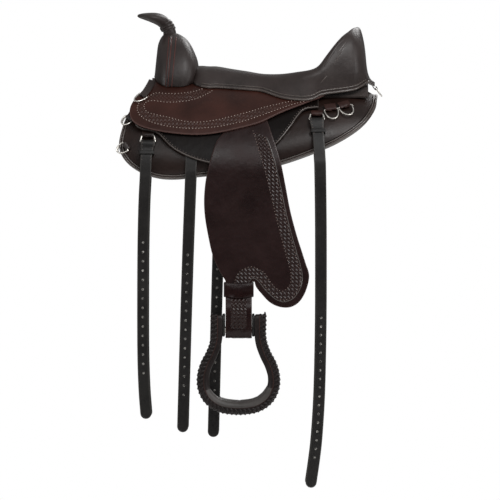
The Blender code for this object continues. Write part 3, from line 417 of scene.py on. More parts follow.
def leather_sheet(outline, place, thickness, ease=0.0009, rows=(3, 7, 11, 15, 19, 24), grid=8.0,
                  holes=(), tooled=()):
    """Leather cut to a flat outline and laid by place(u, v, w), w from -1 inside to 1 outside.

    Its points lie in rows, in millimetres from the cut edge, and then on a grid. Each point stores
    how far it is from the cut edge and from a hole's middle, and how far inside a tooled band."""
    outer = [Vector(list(p)[:2]) for p in outline]
    rim = inset(outer, ease)
    spots = list(rim)
    edges = [(i, (i + 1) % len(rim)) for i in range(len(rim))]
    hole_loops = []
    for hole in holes:
        start = len(spots)
        spots += hole
        hole_loops.append(range(start, len(spots)))
        edges += [(start + i, start + (i + 1) % len(hole)) for i in range(len(hole))]
    free = []
    for row in rows:
        drawn = resample(inset(outer, row * MM), 0.0055, True)
        far = line_distance(np.array(drawn), outer)
        within = inside(np.array(drawn), outer)
        free += [p for p, d, ok in zip(drawn, far, within) if ok and d > row * MM * 0.93]
    low = Vector((min(p.x for p in outer), min(p.y for p in outer)))
    high = Vector((max(p.x for p in outer), max(p.y for p in outer)))
    step = grid * MM
    lattice = np.array([
        (low.x + i * step, low.y + (j + 0.5 * (i % 2)) * step)
        for i in range(int((high.x - low.x) / step) + 2) for j in range(int((high.y - low.y) / step) + 2)
    ])
    keep = inside(lattice, outer) & (line_distance(lattice, outer) > rows[-1] * MM + step * 0.45)
    free += [Vector(p) for p in lattice[keep]]
    for hole in holes:
        middle = middle_of(hole)
        free = [p for p in free if (p - middle).length > 2 * HOLE_RADIUS]
        free += [middle + (p - middle) * 1.35 for p in hole]
    verts, _, faces, origin, *_ = delaunay_2d_cdt(spots + free, edges, [], 2, 1e-7)
    number = {source: index for index, sources in enumerate(origin) for source in sources}
    body = bmesh.new()
    flat = [Vector(p) for p in verts]
    top = [body.verts.new(place(p.x, p.y, 1.0)) for p in flat]
    under = [body.verts.new(place(p.x, p.y, -1.0)) for p in flat]
    plan = flat + flat
    for face in faces:
        body.faces.new([top[i] for i in face])
        body.faces.new([under[i] for i in reversed(face)])
    soft = ease / thickness * 2
    walls = [[top[number[i]] for i in range(len(rim))]]
    for share, depth in ((0.3, 1.0 - soft * 0.3), (0.0, 1.0 - soft), (0.0, -1.0 + soft),
                         (0.3, -1.0 + soft * 0.3)):
        ring = inset(outer, ease * share) if share else outer
        walls.append([body.verts.new(place(p.x, p.y, depth)) for p in ring])
        plan += ring
    walls.append([under[number[i]] for i in range(len(rim))])
    for first, second in zip(walls, walls[1:]):
        bridge(body, first, second)
    for loop in hole_loops:
        bridge(body, [top[number[i]] for i in loop], [under[number[i]] for i in loop])
    plan = np.array([list(p) for p in plan])
    mesh = mesh_of(body, 60.0)
    store(mesh, "edge", line_distance(plan, outer))
    if holes:
        middles = np.array([list(middle_of(hole)) for hole in holes])
        store(mesh, "hole", np.sqrt(((plan[:, None, :] - middles) ** 2).sum(axis=2)).min(axis=1))
    inner = np.full(len(plan), -1.0)
    for band in tooled:
        far = line_distance(plan, band)
        inner = np.maximum(inner, np.where(inside(plan, band), far, -far))
    store(mesh, "tooled", inner)
    return mesh


def mirrored(mesh):
    """The right-hand twin of a left-hand mesh, with its faces outwards."""
    twin = mesh.copy()
    twin.transform(Matrix.Scale(-1.0, 4, (0.0, 1.0, 0.0)))
    twin.flip_normals()
    return twin


def joined(meshes):
    """Several meshes as one, with the attributes that they share."""
    body = bmesh.new()
    for mesh in meshes:
        body.from_mesh(mesh)
    made = bpy.data.meshes.new("joined")
    body.to_mesh(made)
    body.free()
    return shaded(made)


def cut_out(mesh, cutter):
    """The mesh without the space that a cutter takes."""
    item = bpy.data.objects.new("cut", mesh)
    tool = bpy.data.objects.new("cutter", cutter)
    for made in (item, tool):
        bpy.context.scene.collection.objects.link(made)
    step = item.modifiers.new("cut", "BOOLEAN")
    step.operation = "DIFFERENCE"
    step.solver = "EXACT"
    step.object = tool
    graph = bpy.context.evaluated_depsgraph_get()
    result = bpy.data.meshes.new_from_object(item.evaluated_get(graph))
    for made in (item, tool):
        bpy.data.objects.remove(made, do_unlink=True)
    return shaded(result)


# Putting pieces on the frame


def put(name, mesh, cover, body="saddle", node=None):
    """A piece in its cover, which rides on a body and stands for a CAD node."""
    piece = bpy.data.objects.new(name, mesh)
    mesh.name = name
    mesh.materials.clear()
    mesh.materials.append(finish(cover))
    bpy.context.scene.collection.objects.link(piece)
    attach(piece, body)
    if node:
        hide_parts(node)


def put_both(name, mesh, cover, body=None, node=None):
    """A left-hand piece and its mirrored twin. A body of None is the saddle itself."""
    for side in SIDES:
        put(f"{name}_{side}", mesh if side == "left" else mirrored(mesh), cover,
            f"{body}_{side}" if body else "saddle", node and f"{node}_{side}")


def dress(node, mesh, cover, body=None):
    """The looks of a left-hand CAD node and of its twin."""
    put_both(node + "_looks", mesh, cover, body, node)


def sew(name, lines, cover, body=None):
    """Stitches of one thread along left-hand lines, and their twins."""
    sizes = bpy.context.scene.saddle_sizes
    wide = 2 * sizes.stitch_radius
    size = (sizes.stitch_length, wide, wide)
    put_both(name, beads(lines, finish(cover), sizes.stitch_pitch, size), cover, body)


def laid(place, line, depth):
    """A flat line laid on a piece by place(u, v, w), at a depth w."""
    return [place(p.x, p.y, depth) for p in line]


# Repeats made with Geometry Nodes


def add(tree, kind, inputs=None, **settings):
    """Adds a node with its settings, and its inputs as plain values or as sockets to link."""
    made = tree.nodes.new(kind)
    for name, value in settings.items():
        setattr(made, name, value)
    for socket, value in (inputs or {}).items():
        if isinstance(value, bpy.types.NodeSocket):
            tree.links.new(value, made.inputs[socket])
        else:
            made.inputs[socket].default_value = value
    return made


def beads_tree():
    """Beads of one size an even pitch apart along lines: stitches, and the laces of the stirrups."""
    tree = bpy.data.node_groups.new("beads along lines", "GeometryNodeTree")
    for kind, names in (("Geometry", ["Lines"]), ("Float", ["Pitch", "Length", "Width", "Height"]),
                        ("Vector", ["Facing", "Turn"]), ("Int", ["Segments"]), ("Material", ["Finish"])):
        for name in names:
            tree.interface.new_socket(name, in_out="INPUT", socket_type="NodeSocket" + kind)
    tree.interface.new_socket("Beads", in_out="OUTPUT", socket_type="NodeSocketGeometry")
    given = add(tree, "NodeGroupInput").outputs
    lines = add(tree, "GeometryNodeMeshToCurve", {"Mesh": given["Lines"]})
    facing = add(tree, "GeometryNodeSetCurveNormal", {
        "Curve": lines.outputs[0], "Normal": given["Facing"],
    }, mode="FREE")
    spots = add(tree, "GeometryNodeCurveToPoints", {
        "Curve": facing.outputs[0], "Length": given["Pitch"],
    }, mode="LENGTH")
    size = add(tree, "ShaderNodeCombineXYZ", {
        "X": given["Width"], "Y": given["Height"], "Z": given["Length"],
    })
    half = add(tree, "ShaderNodeVectorMath", {0: size.outputs[0], 1: (0.5, 0.5, 0.5)}, operation="MULTIPLY")
    bead = add(tree, "GeometryNodeMeshUVSphere", {"Segments": given["Segments"], "Rings": 4, "Radius": 1.0})
    shaped = add(tree, "GeometryNodeTransform", {"Geometry": bead.outputs[0], "Scale": half.outputs[0]})
    turned = add(tree, "GeometryNodeTransform", {"Geometry": shaped.outputs[0], "Rotation": given["Turn"]})
    laid_out = add(tree, "GeometryNodeInstanceOnPoints", {
        "Points": spots.outputs["Points"], "Instance": turned.outputs[0],
        "Rotation": spots.outputs["Rotation"],
    })
    real = add(tree, "GeometryNodeRealizeInstances", {"Geometry": laid_out.outputs[0]})
    even = add(tree, "GeometryNodeSetShadeSmooth", {"Geometry": real.outputs[0], "Shade Smooth": True})
    painted = add(tree, "GeometryNodeSetMaterial", {
        "Geometry": even.outputs[0], "Material": given["Finish"],
    })
    add(tree, "NodeGroupOutput", {"Beads": painted.outputs[0]})
    return tree


def lines_mesh(lines):
    """Lines as a mesh of loose edges."""
    mesh = bpy.data.meshes.new("lines")
    verts, edges = [], []
    for line in lines:
        start = len(verts)
        verts += [tuple(p) for p in line]
        edges += [(start + i, start + i + 1) for i in range(len(line) - 1)]
    mesh.from_pydata(verts, edges, [])
    return mesh


def beads(lines, material, pitch, size, turn=(0.0, 0.0, 0.0), segments=6):
    """Beads along lines, through the shared tree. A size is long down the line, wide and high."""
    tree = bpy.data.node_groups.get("beads along lines") or beads_tree()
    item = bpy.data.objects.new("beads", lines_mesh(lines))
    bpy.context.scene.collection.objects.link(item)
    step = item.modifiers.new("beads", "NODES")
    step.node_group = tree
    values = {"Pitch": pitch, "Length": size[0], "Width": size[1], "Height": size[2], "Turn": turn,
              "Facing": (0.0, 1.0, 0.0), "Segments": segments, "Finish": material}
    for socket in tree.interface.items_tree:
        if socket.item_type == "SOCKET" and socket.in_out == "INPUT" and socket.name in values:
            step[socket.identifier] = values[socket.name]
    item.update_tag()
    bpy.context.view_layer.update()
    graph = bpy.context.evaluated_depsgraph_get()
    mesh = bpy.data.meshes.new_from_object(item.evaluated_get(graph))
    bpy.data.objects.remove(item, do_unlink=True)
    return mesh


# Materials


def new_material(name):
    made = bpy.data.materials.new(name)
    made.use_nodes = True
    return made, made.node_tree, made.node_tree.nodes["Principled BSDF"]


def maths(tree, kind, *values):
    """The result of a maths node, from plain values or sockets."""
    return add(tree, "ShaderNodeMath", dict(enumerate(values)), operation=kind).outputs[0]


def ranged(tree, value, start, stop, to_start, to_stop, kind="LINEAR"):
    """A value taken from one range to another."""
    return add(tree, "ShaderNodeMapRange", {
        "Value": value, "From Min": start, "From Max": stop, "To Min": to_start, "To Max": to_stop,
    }, interpolation_type=kind).outputs[0]


def blended(tree, share, first, second):
    """Two colours mixed, each of them a socket or linear red, green and blue."""
    ends = [end if isinstance(end, bpy.types.NodeSocket) else (*end, 1.0) for end in (first, second)]
    return add(tree, "ShaderNodeMix", {0: share, 6: ends[0], 7: ends[1]}, data_type="RGBA").outputs[2]


def stored(tree, name):
    """A distance in metres that the mesh stores."""
    return add(tree, "ShaderNodeAttribute", attribute_name=name).outputs["Fac"]


def own_place(tree):
    return add(tree, "ShaderNodeTexCoord").outputs["Object"]


def noise(tree, scale, detail, roughness=0.5):
    """Noise fixed to the piece, with its scale in marks per metre."""
    return add(tree, "ShaderNodeTexNoise", {
        "Vector": own_place(tree), "Scale": scale, "Detail": detail, "Roughness": roughness,
    }).outputs["Fac"]


# Depths of the leather's pebbles, of its pulls, of a tooled band and of its stamps
PEBBLE_DEPTH = 0.00016
PULL_DEPTH = 0.0004
BAND_DEPTH = 0.0006
STAMP_DEPTH = 0.0009
# How far from the edge its burnish and painted highlight start to fade and end, and where the painted
# highlight round a hole ends
BURNISH_AND_HIGHLIGHT_START = 0.0009
BURNISH_AND_HIGHLIGHT_END = 0.0032
HOLE_HIGHLIGHT_RADIUS = 0.0027


def basket_stamps(tree):
    """The height of the basket weave's stamps, and a mask of the tooled bands."""
    cell = bpy.context.scene.saddle_sizes.stamp_cell
    turned = add(tree, "ShaderNodeMapping", {
        "Vector": own_place(tree), "Rotation": (0.0, math.radians(45.0), 0.0), "Scale": (1.0 / cell,) * 3,
    })
    cells = add(tree, "ShaderNodeSeparateXYZ", {0: turned.outputs[0]})
    rolls = []
    parts = []
    for axis in ("X", "Z"):
        share = maths(tree, "FRACT", cells.outputs[axis])
        rolls.append(maths(tree, "SINE", maths(tree, "MULTIPLY", share, math.pi)))
        parts.append(maths(tree, "FLOOR", cells.outputs[axis]))
    odd = maths(tree, "FLOORED_MODULO", maths(tree, "ADD", *parts), 2.0)
    weave = add(tree, "ShaderNodeMix", {0: odd, 2: rolls[0], 3: rolls[1]}, data_type="FLOAT").outputs[0]
    return weave, ranged(tree, stored(tree, "tooled"), 0.0, 0.0010, 0.0, 1.0, "SMOOTHSTEP")


def leather(name, base, rough, specular, grain=1.0, edge=None, punched=None, crest_wear_and_highlight=None):
    """Vegetable-tanned leather: uneven dye, pebbled grain, and satin gloss that dulls in patches.

    The eye gets soft broad highlights with fine broken edges; a cut edge in the edge colour where edge
    is given, its burnish lightened as a painted highlight; a pale painted highlight round the holes
    where punched is; and basket stamps in the tooled bands, their crests lighter where
    crest_wear_and_highlight is, part worn dye and part painted highlight."""
    made, tree, shader = new_material(name)
    # Dye patches about 60 mm wide
    patches = noise(tree, 17.0, 4.0, 0.6)
    tones = ranged(tree, patches, 0.3, 0.7, 0.7, 1.35)
    shown = add(tree, "ShaderNodeVectorMath", {0: base, "Scale": tones}, operation="SCALE").outputs[0]
    # Fine pebbles on pulls about 11 mm apart
    pebbles = add(tree, "ShaderNodeTexVoronoi", {
        "Vector": own_place(tree), "Scale": 1.0 / bpy.context.scene.saddle_sizes.grain,
    }, feature="SMOOTH_F1")
    height = maths(tree, "MULTIPLY", pebbles.outputs["Distance"], PEBBLE_DEPTH * grain)
    height = maths(tree, "MULTIPLY_ADD", noise(tree, 90.0, 3.0), PULL_DEPTH, height)
    # The cut edge takes the edge colour: a burnish, lightened as a painted highlight
    if edge:
        edge_burnish_and_highlight = ranged(tree, stored(tree, "edge"), BURNISH_AND_HIGHLIGHT_START, BURNISH_AND_HIGHLIGHT_END, 1.0, 0.0, "SMOOTHSTEP")
        shown = blended(tree, edge_burnish_and_highlight, shown, linear(edge))
    # A pale painted highlight round each hole, where light would show through
    if punched:
        pale = ranged(tree, stored(tree, "hole"), HOLE_RADIUS, HOLE_HIGHLIGHT_RADIUS, 1.0, 0.0, "SMOOTHSTEP")
        shown = blended(tree, pale, shown, linear(punched))
    if crest_wear_and_highlight:
        # The band is sunk, and the crests of its stamps rise again and are painted lighter, part worn dye
        # and part painted highlight
        weave, mask = basket_stamps(tree)
        sunk = maths(tree, "MULTIPLY_ADD", mask, -BAND_DEPTH, height)
        height = maths(tree, "MULTIPLY_ADD", maths(tree, "MULTIPLY", weave, mask), STAMP_DEPTH, sunk)
        crest = ranged(tree, weave, 0.5, 0.98, 0.0, 0.85)
        shown = blended(tree, maths(tree, "MULTIPLY", crest, mask), shown, linear(crest_wear_and_highlight))
    bump = add(tree, "ShaderNodeBump", {"Height": height, "Strength": 1.0, "Distance": 1.0})
    tree.links.new(shown, shader.inputs["Base Color"])
    tree.links.new(ranged(tree, patches, 0.3, 0.7, rough - 0.06, rough + 0.07), shader.inputs["Roughness"])
    tree.links.new(bump.outputs[0], shader.inputs["Normal"])
    shader.inputs["Specular IOR Level"].default_value = specular
    return made


def steel(name, base):
    """Polished stainless steel wire: bright, with fine drawing marks along it."""
    made, tree, shader = new_material(name)
    marks = noise(tree, 900.0, 2.0)
    tree.links.new(blended(tree, marks, [c * 0.86 for c in base], base), shader.inputs["Base Color"])
    tree.links.new(ranged(tree, marks, 0.3, 0.7, 0.26, 0.40), shader.inputs["Roughness"])
    shader.inputs["Metallic"].default_value = 1.0
    return made


def speckled(name, base, rough, marks, tones, bump, sheen=0.0):
    """A dull stuff whose flecks, a noise's scale, detail and roughness, vary its tone and its height."""
    made, tree, shader = new_material(name)
    flecks = noise(tree, *marks)
    dark, light = ([min(1.0, c * tone) for c in base] for tone in tones)
    lumps = add(tree, "ShaderNodeBump", {"Height": flecks, "Strength": bump[0], "Distance": bump[1]})
    tree.links.new(blended(tree, flecks, dark, light), shader.inputs["Base Color"])
    tree.links.new(lumps.outputs[0], shader.inputs["Normal"])
    shader.inputs["Roughness"].default_value = rough
    shader.inputs["Sheen Weight"].default_value = sheen
    return made


def thread(name, base):
    """Waxed polyester thread: matt twisted strands with a slight wax gleam."""
    return speckled(name, base, 0.62, (1600.0, 2.0), (0.6, 1.35), (0.4, 0.0003))


def felt(name, base):
    """Pressed wool felt: dull, with soft fibres that catch the light at its edge."""
    return speckled(name, base, 0.95, (700.0, 5.0, 0.7), (0.7, 1.3), (0.7, 0.0006), sheen=0.1)


def board(name, base):
    """Moulded board: matt, with a fine mould texture."""
    return speckled(name, base, 0.60, (400.0, 5.0, 0.7), (0.7, 1.3), (0.7, 0.0002))


FINISHES = {
    # Satin black-brown with broad highlights on the seat, the fork and the horn
    "padded seat leather": (leather, "seat", {"rough": 0.45, "specular": 0.40, "grain": 0.7}),
    # Browner and a little glossier over the stuffed panels
    "panel leather": (leather, "panel", {"rough": 0.38, "specular": 0.30, "grain": 0.7}),
    # Nearly black: the shadow between the jockeys and the panels is painted into the flaps' colour, and
    # their edge is lightened as a painted highlight
    "flap leather": (leather, "flap", {"rough": 0.36, "specular": 0.13, "grain": 0.4, "edge": "#2a2422"}),
    # Smooth reddish brown; the crests of its tooled bands lighter, part wear and part painted highlight,
    # and its edge lightened as a painted highlight
    "tooled jockey leather": (leather, "jockey", {
        "rough": 0.42, "specular": 0.20, "grain": 0.4, "edge": "#4a3430", "crest_wear_and_highlight": "#3f2c27",
    }),
    # Dark and oiled, glossier than the jockeys, with flatter stamps, their crests and its edge lightened as
    # wear and painted highlight
    "tooled fender leather": (leather, "fender", {
        "rough": 0.30, "specular": 0.27, "grain": 0.2, "edge": "#2c1c1a", "crest_wear_and_highlight": "#2c1e1b",
    }),
    # The fenders' leather bent round them, plain and a little duller
    "hobble leather": (leather, "fender", {"rough": 0.30, "specular": 0.22, "grain": 0.4}),
    # Dull black, with a pale painted highlight round each punched hole, and its edge lightened as a painted
    # highlight
    "billet strap leather": (leather, "strap", {
        "rough": 0.46, "specular": 0.32, "grain": 0.6, "edge": "#2f2d2b", "punched": "#b9b6b0",
    }),
    "billet keeper leather": (leather, "strap", {"rough": 0.46, "specular": 0.32, "grain": 0.6}),
    # Matt brown, lighter than the straps that it holds
    "brown tab leather": (leather, "tab", {"rough": 0.48, "specular": 0.25}),
    # Thin stretched leather over cord, which shines along its roll, lighter than the seat's leather partly
    # as a painted highlight
    "piped leather": (leather, "piping", {"rough": 0.28, "specular": 0.70, "grain": 0.3}),
    # Black-brown satin whose laces each catch a small highlight
    "laced stirrup leather": (leather, "stirrup", {"rough": 0.40, "specular": 0.34}),
    # Worn grey, the lightest leather of the stirrups
    "stirrup lining leather": (leather, "lining", {"rough": 0.46, "specular": 0.40}),
    # Reddish leather cord that marks the fork's seam against the black-brown
    "waxed seam cord": (leather, "seam", {"rough": 0.50, "specular": 0.25, "grain": 0.5}),
    # The same thread pale on the jockeys, darkened by oil on the fenders, and dark elsewhere
    "waxed thread": (thread, "thread", {}),
    "oiled thread": (thread, "fender_thread", {}),
    "dark waxed thread": (thread, "dark_thread", {}),
    "polished steel": (steel, "steel", {}),
    "wool felt": (felt, "felt", {}),
    "moulded board": (board, "board", {}),
}


def finish(name):
    """The named material, made the first time that it is asked for."""
    made = bpy.data.materials.get(name)
    if not made:
        recipe, tone, settings = FINISHES[name]
        made = recipe(name, tuple(getattr(bpy.context.scene.saddle_colours, tone)), **settings)
    return made


# Fork, horn and its wrap

FORK_SECTIONS = [
    # height, front x, back x, share of the half width
    (15, -198, -112, 1.00), (34, -199, -107, 1.00), (56, -197, -105, 0.955),
    (76, -195, -108, 0.87), (94, -193, -115, 0.74), (108, -191, -122, 0.60), (119, -187, -130, 0.44),
    (127, -182, -140, 0.28), (132, -177, -150, 0.15),
]
FORK_HEIGHTS = (16, 20, 26, 34, 44, 54, 64, 74, 82, 90, 97, 103, 108, 113, 118, 122, 126, 129, 131.5, 132)
FORK_SQUARE = 0.64
FORK_TUCK = 0.0015
# The three cords of the fork's seam and the ridge under them, as x at the foot and at the top, in mm
FORK_CORDS = ((-175.4, -167.8), (-170.3, -162.1), (-162.1, -152.7))
FORK_RIDGE = (-172.9, -165.0)


def barrel_height(y, off):
    wide, high = half_axes(off)
    return -BARREL_HALF_HEIGHT + high * math.sqrt(max(0.0, 1.0 - (y / wide) ** 2))


def fork_section(height):
    """The fork's middle, half length and half width at a height in millimetres."""
    rows = smooth(FORK_SECTIONS, 6)
    z = np.array([row[0] for row in rows])
    front, back, share = (np.interp(height, z, [row[i] for row in rows]) for i in (1, 2, 3))
    return (front + back) / 2 * MM, (back - front) / 2 * MM, FORK_HALF_WIDTH * share


def fork_ring(height, grow=0.0, foot=False, shrink=1.0):
    """The fork's outline at a height, or down where its foot rests."""
    middle, half_long, half_wide = fork_section(height)
    ring = []
    for c, s in circle(72):
        x = middle + (half_long + grow) * shrink * squarer(c, FORK_SQUARE)
        y = (half_wide + grow) * shrink * squarer(s, FORK_SQUARE)
        rest = barrel_height(y, SEAT_IN)
        ring.append(Vector((x, y, rest + 0.0002 if foot else max(height * MM, rest + 0.002))))
    return ring


def fork_mesh(grow=0.0):
    """The fork's cover, tucked in at its foot, or the fork grown to cut the seat."""
    rings = [fork_ring(15, grow or -FORK_TUCK, foot=True)]
    rings += [fork_ring(height, grow) for height in FORK_HEIGHTS]
    top = fork_ring(FORK_HEIGHTS[-1], grow, shrink=0.6)
    rings.append([p + Vector((0.0, 0.0, 0.001)) for p in top])
    return loft(rings)


def on_fork(x, height, off=0.0):
    """The point of the fork's left side at an x and a height, off outwards."""
    middle, half_long, half_wide = fork_section(height)
    c = min(1.0, abs(x - middle) / half_long) ** (1 / FORK_SQUARE)
    s = math.sqrt(1.0 - c * c)
    return Vector((x, -(half_wide * s**FORK_SQUARE + off), height * MM))


def fork_line(low_x, high_x, off=0.0):
    """A line up the fork's side, between an x at its foot and one at its top in millimetres."""
    return [on_fork((low_x + (high_x - low_x) * k / 24) * MM, 20 + 104 * k / 24, off) for k in range(25)]


HORN_SECTIONS = [
    # x, z, lean from upright in degrees, half thickness, half width
    (-166.5, 112, 0, 13.5, 13.5), (-166.5, 132.8, 0, 13.5, 13.5), (-168.4, 139, 15, 13.4, 13.8),
    (-171.8, 145.5, 28, 12.8, 14.6), (-176.8, 152.5, 42, 12.8, 19.0), (-185, 159.5, 60, 13.0, 27.0),
    (-196, 163.8, 74, 11.8, 32.0), (-208, 166.3, 80, 9.6, 33.0), (-220, 168.0, 82, 7.0, 28.5),
    (-229, 168.8, 84, 4.6, 20.0), (-233.5, 169.2, 84, 2.4, 11.0),
]

# How far the wrap's outer and inner faces lie off the horn, its swell and the depths of its creases
WRAP_OUT = 0.0018
WRAP_IN = 0.0007
WRAP_SWELL = 0.0006
WRAP_CREASES = (0.0005, 0.0003)


def horn_ring(row, grow=0.0, sides=40, crease=None):
    """A section square to the horn, with a crease that depends on the turn round it."""
    x, z, lean, thick, wide = row
    tilt = math.radians(lean)
    through = Vector((math.cos(tilt), 0.0, math.sin(tilt)))
    ring = []
    for i in range(sides):
        turn = 2 * math.pi * i / sides
        more = grow + (crease(turn) if crease else 0.0)
        ring.append(
            Vector((x * MM, 0.0, z * MM))
            + through * (thick * MM + more) * math.cos(turn)
            + Vector((0.0, 1.0, 0.0)) * (wide * MM + more) * math.sin(turn)
        )
    return ring


def horn_mesh():
    rows = smooth(HORN_SECTIONS, 5)
    x, z, lean, thick, wide = rows[-1]
    tip = [(x - 0.6, z, lean, thick * 0.6, wide * 0.7), (x - 0.8, z, lean, thick * 0.2, wide * 0.3)]
    return loft([horn_ring(row) for row in rows + tip])


def horn_wrap_mesh():
    """The folded collar of leather round the neck, with diagonal creases."""
    rows = smooth(HORN_SECTIONS[2:5], 8)
    broad, fine = WRAP_CREASES
    rings = []
    for i, row in enumerate(rows):
        share = i / (len(rows) - 1)
        swell = WRAP_SWELL * math.sin(math.pi * share)
        rings.append(horn_ring(row, WRAP_OUT + swell, 64, lambda t, s=share: (
            broad * math.sin(2 * t + 19 * s) + fine * math.sin(5 * t - 23 * s))))
    inner = [horn_ring(row, WRAP_IN, 64) for row in reversed(rows)]
    return loft(rings + inner, ring_closes=True)


class SADDLE_OT_fork_and_horn(bpy.types.Operator):
    """Cover the fork, raise its seam, and shape the horn with its creased wrap"""

    bl_idname = "saddle.fork_and_horn"
    bl_label = "Fork and horn"

    def execute(self, context):
        put("fork_cover_looks", fork_mesh(), "padded seat leather", node="fork_cover")
        cords = [tube(fork_line(low, high), SEAM_CORD, 8) for low, high in FORK_CORDS]
        put_both("fork_seam", joined(cords), "waxed seam cord")
        ridge = tube(fork_line(*FORK_RIDGE, -SEAM_RIDGE / 2), SEAM_RIDGE, 12)
        put_both("fork_seam_ridge", ridge, "padded seat leather")
        put("horn_looks", horn_mesh(), "padded seat leather", node="horn")
        put("horn_wrap_looks", horn_wrap_mesh(), "padded seat leather", node="horn_wrap")
        return {"FINISHED"}


# Seat and cantle

SEAT_SECTIONS = [
    # x, lower edge z, side (y, z), shoulder (y, z), rim (y, z), dish (y, z), centre z
    (-119, 18, 62, 42, 48, 58, 34, 63, 17, 65, 65),
    (-113, 18, 72, 42, 56, 58, 38, 63, 19, 65, 65),
    (-106, 18, 78, 42, 59, 57, 40, 62, 20, 64, 64),
    (-96, 17.5, 81.5, 42, 61, 57, 41, 62, 20, 64, 64),
    (-84, 17, 83, 41, 63, 56.5, 42, 61, 21, 63, 63),
    (-61, 17, 86, 40, 66, 56, 44, 60, 22, 62, 62),
    (-8, 13, 93, 34, 76, 48, 54, 53, 28, 52, 51),
    (29, 9, 103, 28, 90, 42, 66, 47, 34, 45, 44),
    (67, -4, 121, 22, 110, 38, 86, 46.5, 44, 42, 40),
    (104, -9, 132, 22, 126, 42, 106, 51, 56, 43, 40),
    (130, -8, 133, 26, 130, 46, 112, 55.5, 60, 46, 43),
    (146, 0, 130, 32, 128, 52, 112, 64, 64, 52, 47),
    (162, 4, 126, 38, 123, 66, 108, 85, 66, 64, 56),
    (178, 6, 120, 42, 116, 80, 100, 106, 66, 80, 70),
    (194, 8, 116, 46, 110, 94, 89, 124, 62, 104, 92),
    (208, 10, 113, 50, 103, 106, 76, 135, 50, 122, 114),
    (218, 12, 111, 52, 97, 112, 62, 141, 36, 138, 134),
    (226, 15, 107, 54, 90, 112, 52, 140, 28, 145, 145),
    (234, 19, 99, 52, 82, 106, 46, 134, 24, 140, 141),
    (240, 23, 90, 50, 74, 92, 42, 115, 22, 120, 121),
    (244, 26, 82, 46, 66, 76, 38, 92, 20, 96, 97),
    (248, 28, 74, 38, 58, 50, 34, 56, 18, 58, 58),
    (254, 30, 60, 33, 46, 36, 28, 38, 15, 38, 38),
    (264, 25, 22, 27, 18, 28.5, 12, 29, 6, 29.5, 30),
]
SEAT_OVERHANG = 0.0015
# Where the fork's foot overlaps the seat's rounded front corners, and where its tail narrows
SEAT_FRONT_X = -84
SEAT_FRONT_HALF = 83
SEAT_TAIL_X = 250
CANTLE_STEP_X = 180.0
CANTLE_STEP_ANGLE = math.radians(29.0)

# Lines along the seat's lower edge, as how far up its side and how far out they lie
WELT_LINE = (0.0016, 0.0005)
BEAD_LINE = (0.0085, -0.0001)
SEAT_SEAM = (0.0100, 0.0002)


def seat_half(row):
    """The left half of the seat's section, from its lower edge to its middle, in metres."""
    x, edge, side_y, side_z, neck_y, neck_z, rim_y, rim_z, dish_y, dish_z, mid = row
    foot = -on_height(0.0, edge * MM, SEAT_IN).y / MM + SEAT_OVERHANG / MM
    low = edge
    if x > SEAT_TAIL_X:
        share = min(1.0, (x - SEAT_TAIL_X) / 4)
        foot = foot + (side_y - foot) * share
        low = edge - 4 * share
    if x < SEAT_FRONT_X:
        foot = foot - (SEAT_FRONT_HALF - side_y)
        low = barrel_height(foot * MM, SEAT_IN) / MM + 1
    points = [(foot, low), (foot, low + (5 if x < SEAT_TAIL_X else 2)), (side_y, side_z),
              (neck_y, neck_z), (rim_y, rim_z), (dish_y, dish_z), (0.0, mid)]
    return [Vector((x * MM, -y * MM, z * MM)) for y, z in points]


def seat_mesh():
    """The padded seat over the ground seat, cut to sit round the fork."""
    rings = []
    for row in smooth(SEAT_SECTIONS, 5):
        half = seat_half(row)
        over = smooth(half + [Vector((p.x, -p.y, p.z)) for p in reversed(half[:-1])], 5)
        first, last = over[-1], over[0]
        under = []
        for share in (step / 12 for step in range(1, 12)):
            if row[0] > SEAT_TAIL_X:
                under.append(first.lerp(last, share))
                continue
            angle = math.asin(max(-1.0, min(1.0, first.y * (1 - 2 * share) / half_axes(SEAT_IN)[0])))
            inner = row[0] > CANTLE_STEP_X and abs(angle) < CANTLE_STEP_ANGLE
            under.append(on_angle(row[0] * MM, -angle, GROUND_OUT + GAP * 2 if inner else SEAT_IN + 0.0001))
        rings.append(over + under)
    return cut_out(loft(rings, sharp=40.0), fork_mesh(0.0006))


def seat_line(lift, out, first=-100.0, last=262.0):
    """A line along the seat's lower edge, lifted up its side and set out from it."""
    line = []
    for row in smooth(SEAT_SECTIONS, 4):
        if first <= row[0] <= last:
            half = smooth(seat_half(row), 6)
            run = 0.0
            spot = half[0]
            for a, b in zip(half, half[1:]):
                step = (b - a).length
                if run + step >= lift:
                    spot = a.lerp(b, (lift - run) / step)
                    break
                run += step
            line.append(spot + Vector((0.0, -out, 0.0)))
    return line


# Raised folds of the leather on the cantle, and the roll along its near rim
SEAT_FOLDS = [
    photo_points([(346.6, 41.4), (344.0, 44.6), (341.0, 48.5), (338.4, 52.2), (336.0, 56.0)]),
    photo_points([(345.4, 46.2), (342.0, 51.2), (339.0, 56.0), (336.0, 61.0), (333.3, 65.9)]),
    photo_points([(327.0, 76.0), (325.2, 78.0), (323.4, 80.0), (320.0, 84.0)]),
]
CANTLE_ROLL_LINE = photo_points([
    (322.6, 76.0), (323.6, 70.0), (326.0, 64.0), (330.5, 55.6), (335.5, 47.8), (341.5, 40.6), (347.0, 35.4),
    (352.0, 32.0),
])


def on_surface(mesh, line, sunk):
    """A side-view line laid on the left face of a mesh, sunk into it."""
    tree = BVHTree.FromPolygons([v.co for v in mesh.vertices], [p.vertices for p in mesh.polygons])
    found = []
    for spot in smooth(line, 6):
        place, normal, _, _ = tree.ray_cast(Vector((spot.x, -0.4, spot.y)), Vector((0.0, 1.0, 0.0)))
        found.append(place - normal * sunk)
    return found


